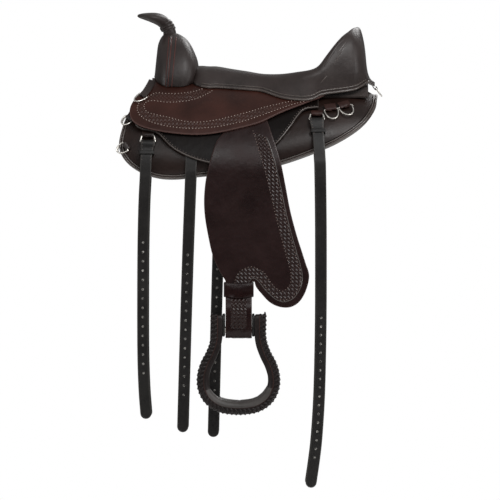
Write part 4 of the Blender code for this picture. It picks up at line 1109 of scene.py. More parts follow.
class SADDLE_OT_seat(bpy.types.Operator):
    """Pad the seat and cantle, with the double welt along their lower edge"""

    bl_idname = "saddle.seat"
    bl_label = "Seat and cantle"

    def execute(self, context):
        surface = seat_mesh()
        put("seat_looks", surface, "padded seat leather", node="seat")
        # The welt, bead and folds are in the lighter piped leather, partly a painted highlight along them
        welt = tube(seat_line(*WELT_LINE), context.scene.saddle_sizes.welt_radius, 12)
        bead = tube(seat_line(*BEAD_LINE, last=245.0), SEAT_BEAD, 8)
        put_both("seat_welt", joined([welt, bead]), "piped leather")
        folds = [tube(on_surface(surface, fold, 0.0004), SEAT_FOLD, 8, taper=True) for fold in SEAT_FOLDS]
        put_both("seat_folds", joined(folds), "piped leather")
        roll = tube(on_surface(surface, CANTLE_ROLL_LINE, 0.0034), CANTLE_ROLL, 16, taper=True)
        put_both("cantle_roll", roll, "padded seat leather")
        sew("seat_stitches", [seat_line(*SEAT_SEAM, 120.0, 240.0)], "dark waxed thread")
        return {"FINISHED"}


# Panels with their bound rims

PANEL_OUTLINE = millimetres([
    (-204, 15), (-229, 3), (-249, -22), (-264, -56), (-272, -100), (-258, -133), (-229, -157),
    (-190, -171), (-150, -173), (-110, -168), (-60, -163), (0, -156), (69, -140), (136, -115),
    (195, -86), (240, -52), (264, -16), (269, 12),
])
PANEL_TOP_FRONT_X = -0.190
PANEL_TOP_REAR_X = 0.252
PANEL_CENTRE_X = -0.030
PANEL_CENTRE_ANGLE = math.radians(46.0)
# Rows from the panel's centre to its rim, and where its face starts to drop
PANEL_ROWS = (0.12, 0.25, 0.4, 0.55, 0.66, 0.74, 0.80, 0.85, 0.90, 0.94, 0.97, 0.99, 1.0)
PANEL_FLAT = 0.72
PANEL_DENT = 0.0005


def panel_plan():
    """The panel's outline as x and girth along the barrel, from the front round to the rear."""
    girth = sum(half_axes(PANEL_OUT)) / 2
    low = smooth(on_plan(PANEL_OUTLINE, PANEL_OUT, girth), 6)
    edge = CHANNEL_ANGLE * girth
    ends = Vector((PANEL_TOP_REAR_X, edge)), Vector((PANEL_TOP_FRONT_X, edge))
    top = [ends[0].lerp(ends[1], step / 30) for step in range(31)]
    return low, top, girth


def panel_mesh():
    """The stuffed panel, full in the middle and thin at its bound rim, with shallow dents."""
    low, top, girth = panel_plan()
    outline = inset(low + top, RIM_WIDTH + GAP)
    centre = Vector((PANEL_CENTRE_X, PANEL_CENTRE_ANGLE * girth))
    body = bmesh.new()
    rims = []
    for low_face in (False, True):
        rows = []
        for t in PANEL_ROWS:
            share = max(0.0, (t - PANEL_FLAT) / (1 - PANEL_FLAT)) ** 2
            if low_face:
                off = (PANEL_OUT - RIM_DROP - RIM_THICKNESS) * share
            else:
                off = PANEL_OUT - RIM_DROP * share
            row = []
            for spot in outline:
                place = centre + (spot - centre) * t
                dent = abs(PANEL_DENT * math.sin(place.x * 95) * math.sin(place.y * 70 + 1)) * (1 - share)
                row.append(body.verts.new(
                    on_angle(place.x, place.y / girth, off if low_face else off - dent)))
            rows.append(row)
        middle = body.verts.new(on_angle(centre.x, centre.y / girth, 0.0 if low_face else PANEL_OUT))
        for i, spot in enumerate(rows[0]):
            body.faces.new((middle, rows[0][i - 1], spot))
        for near, far in zip(rows, rows[1:]):
            bridge(body, near, far)
        rims.append(rows[-1])
    bridge(body, *rims)
    return mesh_of(body)


def binding_mesh():
    """Two parallel rolls of binding leather round the panel's free edge."""
    low, top, girth = panel_plan()
    middle = resample(inset(low + top, RIM_WIDTH / 2)[: len(low)], 0.006)
    base = PANEL_OUT - RIM_DROP - RIM_THICKNESS
    half = RIM_WIDTH / 2
    section = [(-half, 0.0), (half, 0.0)]
    for centre in (half / 2, -half / 2):
        section += [(centre + half / 2 * c, RIM_THICKNESS * (0.55 + 0.45 * s))
                    for c, s in arc(0.0, math.pi, 6)]
    rings = []
    for spot, side in zip(middle, offsets(middle, 1.0)):
        places = [(spot + side * u, v) for u, v in section]
        rings.append([on_angle(place.x, place.y / girth, base + v) for place, v in places])
    return loft(rings, sharp=75.0)


class SADDLE_OT_panels(bpy.types.Operator):
    """Pad the panels and bind their free edge with two rolls of leather"""

    bl_idname = "saddle.panels"
    bl_label = "Panels"

    def execute(self, context):
        dress("panel", panel_mesh(), "panel leather")
        dress("panel_binding", binding_mesh(), "piped leather")
        return {"FINISHED"}


# Flaps and jockeys

FLAP_EDGE = millimetres([
    (-205, -38), (-232, -50), (-238, -61), (-225, -70), (-206, -74), (-190, -80), (-168, -103),
    (-145, -119), (-110, -134), (-70, -143), (-30, -145), (10, -133), (54, -104), (84, -69),
    (103, -42), (118, -28), (146, -24),
])
JOCKEY_EDGE = millimetres([
    (-203, 22), (-214, 12), (-232, 2), (-246, -16), (-250, -34), (-245, -50), (-229, -62),
    (-200, -71), (-155, -78), (-109, -81), (-67, -77), (-24, -68), (23, -55), (67, -34),
    (110, -17), (146, -3), (162, 5),
])
TOP_ANGLE = math.radians(6.0)
# How far in from the flap's edge its piping and its stitches lie
FLAP_PIPING_IN = 0.0022
FLAP_STITCHES_IN = 0.0058

JOCKEY_INNER_ROW = photo_points([
    (212.0, 91.5), (207.0, 94.6), (198.0, 98.6), (186.0, 101.6), (168.9, 102.8), (153.5, 101.2),
    (147.0, 102.4), (144.2, 106.4), (146.4, 111.4), (152.1, 114.1), (168.9, 117.9), (183.0, 121.4),
    (197.0, 122.8), (216.6, 120.4), (236.3, 115.8), (250.3, 112.0), (264.3, 107.8), (278.4, 104.4),
    (292.4, 101.4), (306.4, 98.4),
])
JOCKEY_OUTER_ROW = photo_points([
    (202.0, 89.6), (194.2, 92.0), (180.2, 93.8), (166.0, 94.0), (157.0, 93.4), (150.0, 96.2),
    (142.5, 99.8), (138.4, 105.4), (137.6, 110.5), (140.6, 116.0), (146.5, 120.4), (155.7, 123.8),
    (166.1, 126.4), (180.0, 128.3), (194.2, 129.0), (216.6, 127.3), (236.3, 123.4), (250.3, 119.6),
    (264.3, 114.8), (278.4, 109.6), (292.4, 105.0), (306.4, 101.2),
])


def skirt_plan(edge, off):
    """A skirt's outline as x and girth, its smooth free edge first, and the girth's radius."""
    radius = sum(half_axes(off)) / 2
    line = resample(on_plan(smooth(edge, 6), off, radius), 0.004)
    top = TOP_ANGLE * radius
    above = [Vector((line[-1].x, top)), Vector((line[0].x, top))]
    sides = resample([line[-1], above[0]], 0.006)[1:-1] + resample(above, 0.008)
    sides += resample([above[1], line[0]], 0.006)[1:-1]
    return line + sides, line, radius


def skirt_place(low, high, radius):
    middle, half = (low + high) / 2, (high - low) / 2
    return lambda u, v, w: on_angle(u, v / radius, middle + half * w)


class SADDLE_OT_skirts(bpy.types.Operator):
    """Cut the flaps and the tooled jockeys, with their piping and stitches"""

    bl_idname = "saddle.skirts"
    bl_label = "Flaps and jockeys"

    def execute(self, context):
        outline, line, radius = skirt_plan(FLAP_EDGE, FLAP_OUT)
        place = skirt_place(FLAP_IN, FLAP_OUT, radius)
        flap = leather_sheet(outline, place, FLAP_OUT - FLAP_IN, grid=11.0)
        dress("flap", flap, "flap leather")
        piping = laid(place, inset(outline, FLAP_PIPING_IN)[: len(line)], 1.0)
        put_both("flap_piping", tube(piping, FLAP_PIPING, 8), "piped leather")
        seam = laid(place, inset(outline, FLAP_STITCHES_IN)[: len(line)], LOW_STITCHES)
        sew("flap_stitches", [seam], "dark waxed thread")
        outline, line, radius = skirt_plan(JOCKEY_EDGE, JOCKEY_OUT)
        place = skirt_place(JOCKEY_IN, JOCKEY_OUT, radius)
        rows = [smooth(on_plan(r, JOCKEY_OUT, radius), 5) for r in (JOCKEY_INNER_ROW, JOCKEY_OUTER_ROW)]
        jockey = leather_sheet(outline, place, JOCKEY_OUT - JOCKEY_IN, ease=0.0014,
                               rows=range(3, 31, 3), grid=6.0, tooled=[rows[0] + rows[1][::-1]])
        dress("jockey", jockey, "tooled jockey leather")
        seams = [laid(place, row, HIGH_STITCHES) for row in rows]
        sew("jockey_stitches", seams, "waxed thread")
        return {"FINISHED"}


# Fenders, stirrup leathers and hobble straps

FENDER_OUTLINE = millimetres([
    (-67, -93), (-76, -116), (-84, -147), (-91, -180), (-94, -218), (-92, -254), (-85, -295),
    (-76, -334), (-63, -364), (-49, -387),
])
FENDER_LOBE = millimetres([
    (11.5, -389), (15, -400), (26, -414), (41, -430), (56, -439), (73, -443), (90, -441), (106, -430),
    (118, -410), (125, -386), (125, -370), (119, -352), (111, -327), (99, -289), (86, -239),
    (76, -186), (67, -141), (58, -109), (51, -88),
])
FENDER_INNER_ROW = photo_points([
    (253.0, 131.5), (255.5, 139.0), (257.8, 147.3), (261.5, 159.0), (266.0, 175.0), (271.0, 196.0),
    (278.0, 225.0), (285.0, 252.0), (288.3, 263.3), (290.6, 272.0), (290.6, 282.0), (288.3, 286.7),
    (282.7, 291.0), (275.5, 287.8), (269.9, 281.1), (264.8, 273.5), (259.7, 269.9), (251.5, 266.6),
    (242.9, 269.4), (237.8, 274.0), (235.7, 278.6), (235.0, 283.0),
])
FENDER_OUTER_ROW = photo_points([
    (266.4, 137.5), (269.3, 144.5), (273.5, 157.2), (277.4, 172.5), (280.8, 188.0), (285.5, 211.5),
    (291.6, 235.5), (296.4, 252.0), (300.0, 265.0), (302.0, 274.5), (301.6, 283.5), (298.4, 291.4),
    (292.5, 298.6), (284.5, 301.6), (278.6, 300.4), (274.0, 298.0), (265.8, 290.3), (261.7, 285.2),
    (257.7, 280.4), (253.6, 278.0), (250.5, 279.6), (248.5, 283.0),
])
HEAD_FRONT_X = -0.062
HEAD_REAR_X = 0.048
HEAD_DROP = 0.0014
FENDER_SEAM_OUT = 0.0040
# The tooled panel at the stirrup leather's end and the seam round it: width, start and end from the end
LEATHER_PANEL = (0.034, 0.085, 0.008)
LEATHER_SEAM = (0.037, 0.0865, 0.007)
# Heights where the stirrup leather lies flat behind the fender
LEATHER_HEIGHTS = (-0.262, -0.330, -0.415)
HOBBLE_SLACK = 0.0012
HOBBLE_CREASES = 0.0016
HOBBLE_SAG = 0.0036


def fender_turn_angle():
    """The angle round the barrel where the fender leaves it and hangs straight."""
    wide, high = half_axes(BRIDGE_OUT)
    return math.atan(wide / (high * FENDER_SLOPE))


LEAVES = on_angle(0.0, fender_turn_angle(), BRIDGE_OUT)


def fender_out(z):
    """The distance of the fender's outer face from the middle plane, on its straight part."""
    return -LEAVES.y + (LEAVES.z - z) * FENDER_SLOPE


def fender_place(x, z, w):
    """A point of the fender in the side view, w from -1 on its inner face to 1 on its outer one."""
    sink = FENDER_THICKNESS * (1 - w) / 2
    if z >= LEAVES.z:
        angle = angle_of(z, BRIDGE_OUT)
        return on_angle(x, angle, BRIDGE_OUT - sink)
    return Vector((x, -(fender_out(z) - sink), z))


def fender_outline():
    half = LEATHER_WIDTH / 2 - 0.002
    neck = [Vector((LEATHER_X - half, FENDER_TAIL)), Vector((LEATHER_X + half, FENDER_TAIL)),
            Vector((LEATHER_X + half, HOBBLE_TOP + 0.001))]
    edge = smooth(JOCKEY_EDGE, 3)[12:]
    head = [Vector((p.x, p.y - HEAD_DROP)) for p in edge if HEAD_FRONT_X < p.x < HEAD_REAR_X]
    corners = smooth(FENDER_OUTLINE, 6) + neck + smooth(FENDER_LOBE, 6) + head[::-1]
    return resample(corners, 0.004, True)


def bolt_centre():
    return Vector((STIRRUP_X, -(fender_out(BOLT_Z) - FENDER_THICKNESS - BOLT_IN), BOLT_Z))


def strap_place(path, width, across=Vector((1.0, 0.0, 0.0))):
    """A way to lay a flat plan (across, along) on a path of (x, y, z, width, thickness) rows."""
    rows = np.array([list(row) for row in path])
    runs = np.concatenate([[0.0], np.cumsum(np.linalg.norm(np.diff(rows[:, :3], axis=0), axis=1))])

    def at(v):
        return np.array([np.interp(v, runs, rows[:, i]) for i in range(5)])

    def place(u, v, w):
        here = at(v)
        step = 0.0012
        held = min(max(v, 0.0), runs[-1])
        run = Vector((at(min(held + step, runs[-1])) - at(max(held - step, 0.0)))[:3]).normalized()
        side = (across - run * across.dot(run)).normalized()
        out = run.cross(side)
        beyond = max(0.0, v - runs[-1])
        return (Vector(here[:3]) + run * beyond + side * (u * here[3] / width)
                + out * (w * here[4] / 2))

    return place, float(runs[-1])


def strap_outline(width, start, end, round_end=0.0):
    """A strap's flat outline, with its end rounded to a given depth."""
    half = width / 2
    right = resample([Vector((half, start)), Vector((half, end - round_end))], 0.006)
    left = [Vector((-p.x, p.y)) for p in reversed(right)]
    if round_end:
        tip = [Vector((half * c, end - round_end + round_end * s)) for c, s in arc(0.0, math.pi, 10)[1:-1]]
    else:
        tip = [Vector((half * (1 - k / 3), end)) for k in range(1, 6)]
    return right + tip + left + [Vector((half * (k / 3 - 1), start)) for k in range(1, 6)]


def leather_path():
    """The stirrup leather from behind the fender, round the bolt and up under the hobble strap."""
    half = LEATHER_THICKNESS / 2
    bolt = bolt_centre()
    radius = BOLT_RADIUS + GAP + half

    def inner(z):
        return fender_out(z) - FENDER_THICKNESS

    points = [(-(inner(z) - GAP - half), z) for z in LEATHER_HEIGHTS]
    points.append((bolt.y + radius * 1.12, BOLT_Z + 0.045))
    points += [(bolt.y + radius * c, BOLT_Z - (radius + LOOP_SLACK) * s) for c, s in arc(0.0, math.pi, 16)]
    points.append((bolt.y - radius * 1.05, BOLT_Z + 0.045))
    for z in (HOBBLE_TOP - HOBBLE_HEIGHT - 0.004, FENDER_TAIL - GAP):
        points.append((-(inner(z) + half), z))
    rows = [Vector((LEATHER_X, y, z, LEATHER_WIDTH, LEATHER_THICKNESS)) for y, z in points]
    return smooth(rows, 3)


def loop_mesh(place, half_x, low_y, high_y, height, wall, creases=0.0, sag=0.0):
    """A flat strap joined into a loop round another, with rounded corners and lips.

    Its outer run may be creased, and may sag in the middle."""
    lip = 0.5 - 0.3 * wall / height
    section = [(0.0, -0.5), (wall * 0.7, -0.5), (wall, -lip), (wall, -0.2), (wall, 0.0), (wall, 0.2),
               (wall, lip), (wall * 0.7, 0.5), (0.0, 0.5)]
    rings = []
    for grow, z in section:
        x, low, high = half_x + grow, low_y - grow, high_y + grow
        ease = wall * 0.6 + grow * 0.9
        ring = []
        for quarter, (cx, cy) in enumerate(((x, high), (-x, high), (-x, low), (x, low))):
            start = 90 * quarter
            ring += [(px, py, z * height) for px, py in rounded(cx, cy, ease, start, start + 90, 4)]
            if quarter % 2:
                continue
            for k in range(1, 8):
                px = math.copysign(x - ease, cx) * (1 - k / 4)
                bow = 1 - (px / x) ** 2 if cy == low else 0.0
                ridge = creases * bow * math.cos(z * 11 + px * 30) if grow else 0.0
                ring.append((px, cy - ridge, z * height - sag * bow))
        rings.append([place @ Vector(spot) for spot in ring])
    return loft(rings, ring_closes=True)


class SADDLE_OT_fenders(bpy.types.Operator):
    """Cut the tooled fenders, and lay the stirrup leathers and hobble straps"""

    bl_idname = "saddle.fenders"
    bl_label = "Fenders"

    def execute(self, context):
        rows = [smooth(r, 5) for r in (FENDER_INNER_ROW, FENDER_OUTER_ROW)]
        fender = leather_sheet(fender_outline(), fender_place, FENDER_THICKNESS, ease=0.0011,
                               rows=(3, 6, 9, 12, 15, 18, 22, 26, 30, 34), grid=8.0,
                               tooled=[rows[0] + rows[1][::-1]])
        dress("fender", fender, "tooled fender leather", "fender")
        outside = [p + out for p, out in zip(rows[1], offsets(rows[1], -FENDER_SEAM_OUT))]
        seams = [laid(fender_place, seam, HIGH_STITCHES)
                 for seam in (rows[0], [p for p in outside if p.x > 0.0])]
        sew("fender_stitches", seams, "oiled thread", "fender")
        line = tube(laid(fender_place, rows[1], 1.0), FENDER_CORD, 6)
        put_both("fender_line", line, "piped leather", "fender")
        place, run = strap_place(leather_path(), LEATHER_WIDTH)
        panel, seam = (strap_outline(wide, run - start, run - end)
                       for wide, start, end in (LEATHER_PANEL, LEATHER_SEAM))
        strap = leather_sheet(strap_outline(LEATHER_WIDTH, 0.0, run), place, LEATHER_THICKNESS, ease=0.0010,
                              rows=(3, 6, 9, 12, 15, 20), tooled=[panel])
        dress("stirrup_leather", strap, "tooled fender leather", "fender")
        sew("stirrup_leather_stitches", [laid(place, seam + seam[:1], HIGH_STITCHES)], "oiled thread",
            "fender")
        middle = HOBBLE_TOP - HOBBLE_HEIGHT / 2
        turn = Matrix.Rotation(-math.atan(FENDER_SLOPE), 4, "X")
        at = Matrix.Translation((LEATHER_X, -fender_out(middle), middle)) @ turn
        deep = FENDER_THICKNESS + GAP + LEATHER_THICKNESS
        loop = loop_mesh(at, LEATHER_WIDTH / 2 + HOBBLE_SLACK, -HOBBLE_SLACK, deep + HOBBLE_SLACK,
                         HOBBLE_HEIGHT, HOBBLE_THICKNESS, HOBBLE_CREASES, HOBBLE_SAG)
        dress("hobble_strap", loop, "hobble leather", "fender")
        return {"FINISHED"}


# Stirrups

STIRRUP_CURVE = [
    # distance from the stirrup's middle, z, thickness, half width, in millimetres
    (45.0, -458, 24, 15), (45.0, -474, 24, 16), (45.0, -500, 23, 17), (48.0, -520, 23, 18),
    (56.0, -542, 23, 20), (67.0, -564, 24, 22), (73.5, -588, 24, 24), (72.0, -612, 24, 26),
    (60.0, -634, 24, 27), (38.0, -648.5, 24, 27), (12.0, -653.5, 24, 27),
]
STIRRUP_COVER = 0.0014
OUTER_EASE = 0.0045
# The inner corners' radius at the ears and how much it grows down to the tread, over a height
INNER_EASE = 0.0035
INNER_EASE_MORE = 0.0075
INNER_EASE_TOP = -0.560
INNER_EASE_DROP = 0.060
# Width and height of the laces over the corners, down the faces and across the outside
CORNER_LACE = (0.0085, 0.0090)
FACE_LACE = (0.0038, 0.0145)
OUTSIDE_LACE = (0.0170, 0.0042)
# The ear pads' sections: how far from the stirrup's middle, and their share of the full outline
EAR_PAD_SECTIONS = ((0.0282, 0.86), (0.0285, 0.95), (0.0296, 1.0), (0.0322, 1.0), (0.0336, 0.97))
BOLT_LENGTH = 0.112
EAR_PAD_Z = -0.4800
EAR_PAD_HALF_WIDTH = 0.0120
EAR_PAD_HALF_HEIGHT = 0.0235
EAR_PAD_SQUARE = 0.7
# How many stations the tread's lining reaches from the middle, and the stations of its seams
TREAD_REACH = 17
TREAD_SEAMS = (-9, 0, 9)


def stirrup_stations():
    """Places down one branch, across the tread and up the other: point, outward way, half sizes."""
    rows = [(-a, z, t, h) for a, z, t, h in STIRRUP_CURVE] + list(reversed(STIRRUP_CURVE))
    fine = smooth(rows, 5)
    y = bolt_centre().y
    found = []
    for i, row in enumerate(fine):
        before, after = fine[max(i - 1, 0)], fine[min(i + 1, len(fine) - 1)]
        run = Vector((after[0] - before[0], 0.0, after[1] - before[1])).normalized()
        out = Vector((run.z, 0.0, -run.x))
        found.append((Vector((STIRRUP_X + row[0] * MM, y, row[1] * MM)), out, row[2] * MM / 2, row[3] * MM))
    return found


def inner_ease(z):
    """How round the stirrup's inner corners are: softly padded towards the tread."""
    return INNER_EASE + INNER_EASE_MORE * max(0.0, min(1.0, (INNER_EASE_TOP - z) / INNER_EASE_DROP))


def stirrup_mesh():
    """The covered stirrup: a padded bar bent into a loop, with rounded ends."""
    rings = []
    stations = stirrup_stations()
    for n, (spot, out, thick, wide) in enumerate(stations):
        near = min(n, len(stations) - 1 - n)
        taper = (0.72, 0.93)[near] if near < 2 else 1.0
        section = []
        for quarter, (sx, sy) in enumerate(((1, 1), (-1, 1), (-1, -1), (1, -1))):
            ease = OUTER_EASE if sx > 0 else inner_ease(spot.z)
            reach = thick - STIRRUP_COVER if sx > 0 else thick
            section += rounded(sx * reach, sy * (wide - STIRRUP_COVER), ease, 90 * quarter,
                               90 * quarter + 90, 6)
        rings.append([spot + out * (a * taper) + Vector((0.0, b * taper, 0.0)) for a, b in section])
    return loft(rings)


def stirrup_line(out_share, wide_share, out_more=0.0, wide_more=0.0, ends=1):
    """A line along the stirrup at shares of its half thickness and half width, short of its ends."""
    stations = stirrup_stations()
    return [
        spot + out * (thick * out_share + out_more) + Vector((0.0, wide * wide_share + wide_more, 0.0))
        for spot, out, thick, wide in stations[ends:len(stations) - ends]
    ]


def lacing_mesh(cover):
    """Whipped laces over both outer edges, and a herringbone of laces over the outer face."""
    sizes = bpy.context.scene.saddle_sizes
    pitch, thick = sizes.lace_pitch, 2 * sizes.lace_radius
    laces = []
    for side in (-1, 1):
        corner = stirrup_line(1.0, side, -0.0022, -side * 0.0028)
        laces.append((corner, (pitch * 0.76, *CORNER_LACE), (0.0, 0.0, 0.0)))
        face = stirrup_line(0.42, side, 0.0, -side * 0.0012)
        laces.append((face, (thick, *FACE_LACE), (side * 0.55, 0.0, 0.0)))
    for side in (-1, 1):
        outside = stirrup_line(1.0, side * 0.36, -0.0012, ends=0)
        laces.append((outside, (thick, *OUTSIDE_LACE), (0.0, -side * 0.7, 0.0)))
    return joined([beads([line], cover, pitch, size, turn, 8) for line, size, turn in laces])


def bolt_mesh():
    """The stirrup bolt with its domed head and nut."""
    bolt = bolt_centre()
    half = BOLT_LENGTH / 2
    ends = [(half, 0.0020), (half - 0.0004, 0.0045), (half - 0.0016, BOLT_RADIUS)]
    profile = [(-x, radius) for x, radius in ends] + ends[::-1]
    rings = [[bolt + Vector((x, radius * c, radius * s)) for c, s in circle(24)] for x, radius in profile]
    return loft(rings, sharp=35.0)


def tread_mesh():
    """The lining pad on the stirrup's floor, rolled down over both of its edges."""
    stations = stirrup_stations()
    middle = len(stations) // 2
    corner = arc(0.0, math.pi / 2, 6)
    section = [(c, -1, -s) for c, s in reversed(corner)] + [(c, 1, s) for c, s in corner]
    rings = []
    for n in range(-TREAD_REACH, TREAD_REACH + 1):
        spot, out, thick, wide = stations[middle + n]
        ease = inner_ease(spot.z)
        pad = 0.0030 * (1.0 - (abs(n) / TREAD_REACH) ** 6) + 0.0004
        if n in TREAD_SEAMS:
            pad -= 0.0007
        half = wide - STIRRUP_COVER - ease
        inner = thick - ease
        upper, lower = ([(-(inner + (ease + more) * a), side * half + (ease + rise) * b)
                         for a, side, b in section] for more, rise in ((pad, pad * 0.6), (0.0002, 0.0002)))
        rings.append([spot + out * a + Vector((0.0, b, 0.0)) for a, b in upper + lower[::-1]])
    return loft(rings)


def ear_pads_mesh():
    """The black leather pads that fill the gap between the leather and the stirrup's ears."""
    y = bolt_centre().y
    made = []
    for side in (-1, 1):
        rings = []
        for x, share in EAR_PAD_SECTIONS:
            rings.append([Vector((
                STIRRUP_X + side * x, y + EAR_PAD_HALF_WIDTH * share * squarer(c, EAR_PAD_SQUARE),
                EAR_PAD_Z + EAR_PAD_HALF_HEIGHT * share * squarer(s, EAR_PAD_SQUARE),
            )) for c, s in circle(40)])
        made.append(loft(rings))
    return joined(made)


class SADDLE_OT_stirrups(bpy.types.Operator):
    """Cover the stirrups in leather, lace their edges, and fit bolts and tread pads"""

    bl_idname = "saddle.stirrups"
    bl_label = "Stirrups"

    def execute(self, context):
        cover = "laced stirrup leather"
        dress("stirrup", stirrup_mesh(), cover, "stirrup")
        put_both("stirrup_lacing", lacing_mesh(finish(cover)), cover, "stirrup")
        rims = [tube(stirrup_line(-0.08, s, 0.0, -s * 0.0010), STIRRUP_CORD, 8) for s in (-1, 1)]
        put_both("stirrup_edge_cord", joined(rims), "brown tab leather", "stirrup")
        put_both("stirrup_ear_pads", ear_pads_mesh(), "billet keeper leather", "stirrup")
        dress("stirrup_bolt", bolt_mesh(), "polished steel", "stirrup")
        dress("tread_pad", tread_mesh(), "stirrup lining leather", "stirrup")
        return {"FINISHED"}


# Billets

RINGED_BILLETS = {
    # ring, rows on the barrel (x, z, stand-off), hanging rows (x, z), first hole, holes, pitch,
    # keeper, how far the tab's long leg is sunk, and the tab's leather
    "point_billet": (
        (-0.2115, -0.0835),
        [(-213, -108, 4.9), (-214.8, -124, 4.3), (-215.8, -142, 3.6), (-216.5, -160, 2.6),
         (-217.2, -176, 2.4)],
        [(-219.8, -232), (-221.8, -340), (-222, -520), (-219.5, -610), (-215.5, -664)],
        -0.307, 15, HOLE_PITCH, (-214.3, -120.5, 4.6), 0.0026, "panel leather",
    ),
    "balance_billet": (
        (0.1420, -0.0385),
        [(143.2, -64, 4.9), (145, -80, 4.3), (146.2, -96, 3.6), (147.4, -112, 2.8), (148.4, -130, 2.4),
         (149.3, -148, 2.4)],
        [(150.5, -230), (151, -330), (150.5, -480), (147.5, -620), (142, -712), (136.5, -762),
         (129.8, -808)],
        -0.464, 17, 0.0183, (144.6, -76, 4.6), 0.0037, "brown tab leather",
    ),
}
RING_TAB_WIDTH = 0.0240
RING_TAB_LEG = 0.0160
GIRTH_OFF = PANEL_OUT + 0.0007
GIRTH_THICKNESS = 0.0030
GIRTH_BILLETS = {
    # rows on the barrel (x, z), hanging rows (x, z) and first hole
    "girth_billet_front": (
        [(-121, -118), (-121, -134), (-121.5, -150), (-122, -166)],
        [(-124, -220), (-128, -330), (-132, -460), (-136, -600), (-138.5, -692)], -0.333,
    ),
    "girth_billet_rear": (
        [(-60, -118), (-60.5, -134), (-61, -150), (-61.5, -166)],
        [(-62.5, -220), (-65, -330), (-68.5, -460), (-72, -600), (-74.5, -702)], -0.343,
    ),
}
GIRTH_HOLES = 16
KEEPER_HEIGHT = 0.0080
KEEPER_WALL = 0.0012
KEEPER_SLACK = 0.0024
KEEPER_LIFT = 0.0014
# The stitches of a fold: how far from its edge, where they start and where they end
FOLD_SEAM = (0.0026, 0.036, 0.080)


def strap_holes(run, place, first_z, count, pitch):
    """Round holes a pitch apart down a strap from a height, as flat loops."""
    samples = np.linspace(0.0, run, 1500)
    heights = np.array([place(0.0, float(v), 0.0).z for v in samples])
    peak = int(np.argmax(heights))
    holes = []
    for i in range(count):
        below = np.where(heights[peak:] < first_z - pitch * i)[0]
        if len(below):
            v = samples[peak + below[0]]
            holes.append([Vector((HOLE_RADIUS * c, v + HOLE_RADIUS * s)) for c, s in circle(10)])
    return holes


def punched_strap(name, rows, thickness, first_z, count, pitch):
    """Puts a billet with a rounded end and a row of holes, and returns the way to lay a plan on it."""
    place, run = strap_place(rows, BILLET_WIDTH)
    outline = strap_outline(BILLET_WIDTH, 0.0, run + BILLET_WIDTH / 2, BILLET_WIDTH / 2)
    sheet = leather_sheet(outline, place, thickness, ease=0.0007, rows=(3, 7), grid=5.0,
                          holes=strap_holes(run, place, first_z, count, pitch))
    dress(name, sheet, "billet strap leather", name)
    return place


def billet_path(at, rows, low_rows):
    """A ringed billet: up its inner ply, round the ring's lower bar and down, as strap rows."""
    centre = Vector((0.0, 0.0, -RING_HEIGHT))
    inner_off = RING_OFF - FOLD_RADIUS
    path = [(*on_height(row[0] * MM, row[1] * MM, inner_off), BILLET_WIDTH, BILLET_FOLD)
            for row in reversed(rows[:2])]
    fold = [(FOLD_RADIUS, -0.004)] + [(FOLD_RADIUS * c, FOLD_RADIUS * s) for c, s in arc(0.0, math.pi, 8)]
    fold.append((-FOLD_RADIUS, -0.005))
    path += [(*(at @ (centre + Vector((0.0, y, z)))), FOLD_WIDTH, BILLET_FOLD) for y, z in fold]
    hanging = [on_height(row[0] * MM, row[1] * MM, inner_off + row[2] * MM) for row in rows]
    hanging += [Vector((row[0] * MM, hanging[-1].y, row[1] * MM)) for row in low_rows]
    bar = (at @ centre).z
    for i, spot in enumerate(hanging):
        flare = max(0.0, 1.0 - (bar - spot.z) / BELL_LENGTH)
        width = BILLET_WIDTH + (FOLD_WIDTH - BILLET_WIDTH) * flare
        path.append((*spot, width, BILLET_THICKNESS if i else BILLET_FOLD))
    return smooth(path, 3)


def ring_mesh(at):
    """The wire ring of a billet, narrower at its top bar, where the tab holds it."""
    half, top = RING_WIDTH / 2 - RING_WIRE, RING_TAB_WIDTH / 2 + 0.0016
    wire = []
    for x, z, start in ((top, 0.0, 90), (half, -RING_HEIGHT, 0), (-half, -RING_HEIGHT, -90),
                        (-top, 0.0, -180)):
        wire += [Vector((px, 0.0, pz)) for px, pz in rounded(x, z, 0.0030, start, start - 90, 5)]
    return tube([at @ p for p in resample(wire, 0.0022, True)], RING_WIRE, 12, closed=True)


def hairpin(radius):
    """A half turn round a bar on the X axis, from behind it and under it to its front."""
    return [(0.0, radius * c, -radius * s) for c, s in arc(0.0, math.pi, 10)[1:-1]]


def tab_sheet(path, width, across=Vector((1.0, 0.0, 0.0))):
    """A thin strip of leather along a path."""
    rows = smooth([Vector((*p, width, TAB_THICKNESS)) for p in path], 2)
    lay, run = strap_place(rows, width, across)
    return leather_sheet(strap_outline(width, 0.0, run), lay, TAB_THICKNESS, ease=0.0004, rows=(2, 5, 8),
                         grid=4.0)


def tab_mesh(at, width, radius, long_leg, short_leg, sink):
    """Leather folded round a bar, its long leg sunk in at its end."""
    path = [(0.0, radius + sink, long_leg), (0.0, radius + sink * 0.3, long_leg * 0.5), (0.0, radius, 0.0)]
    path += hairpin(radius) + [(0.0, -radius, 0.0), (0.0, -radius + sink * 0.1, short_leg)]
    sheet = tab_sheet(path, width)
    sheet.transform(at)
    return sheet


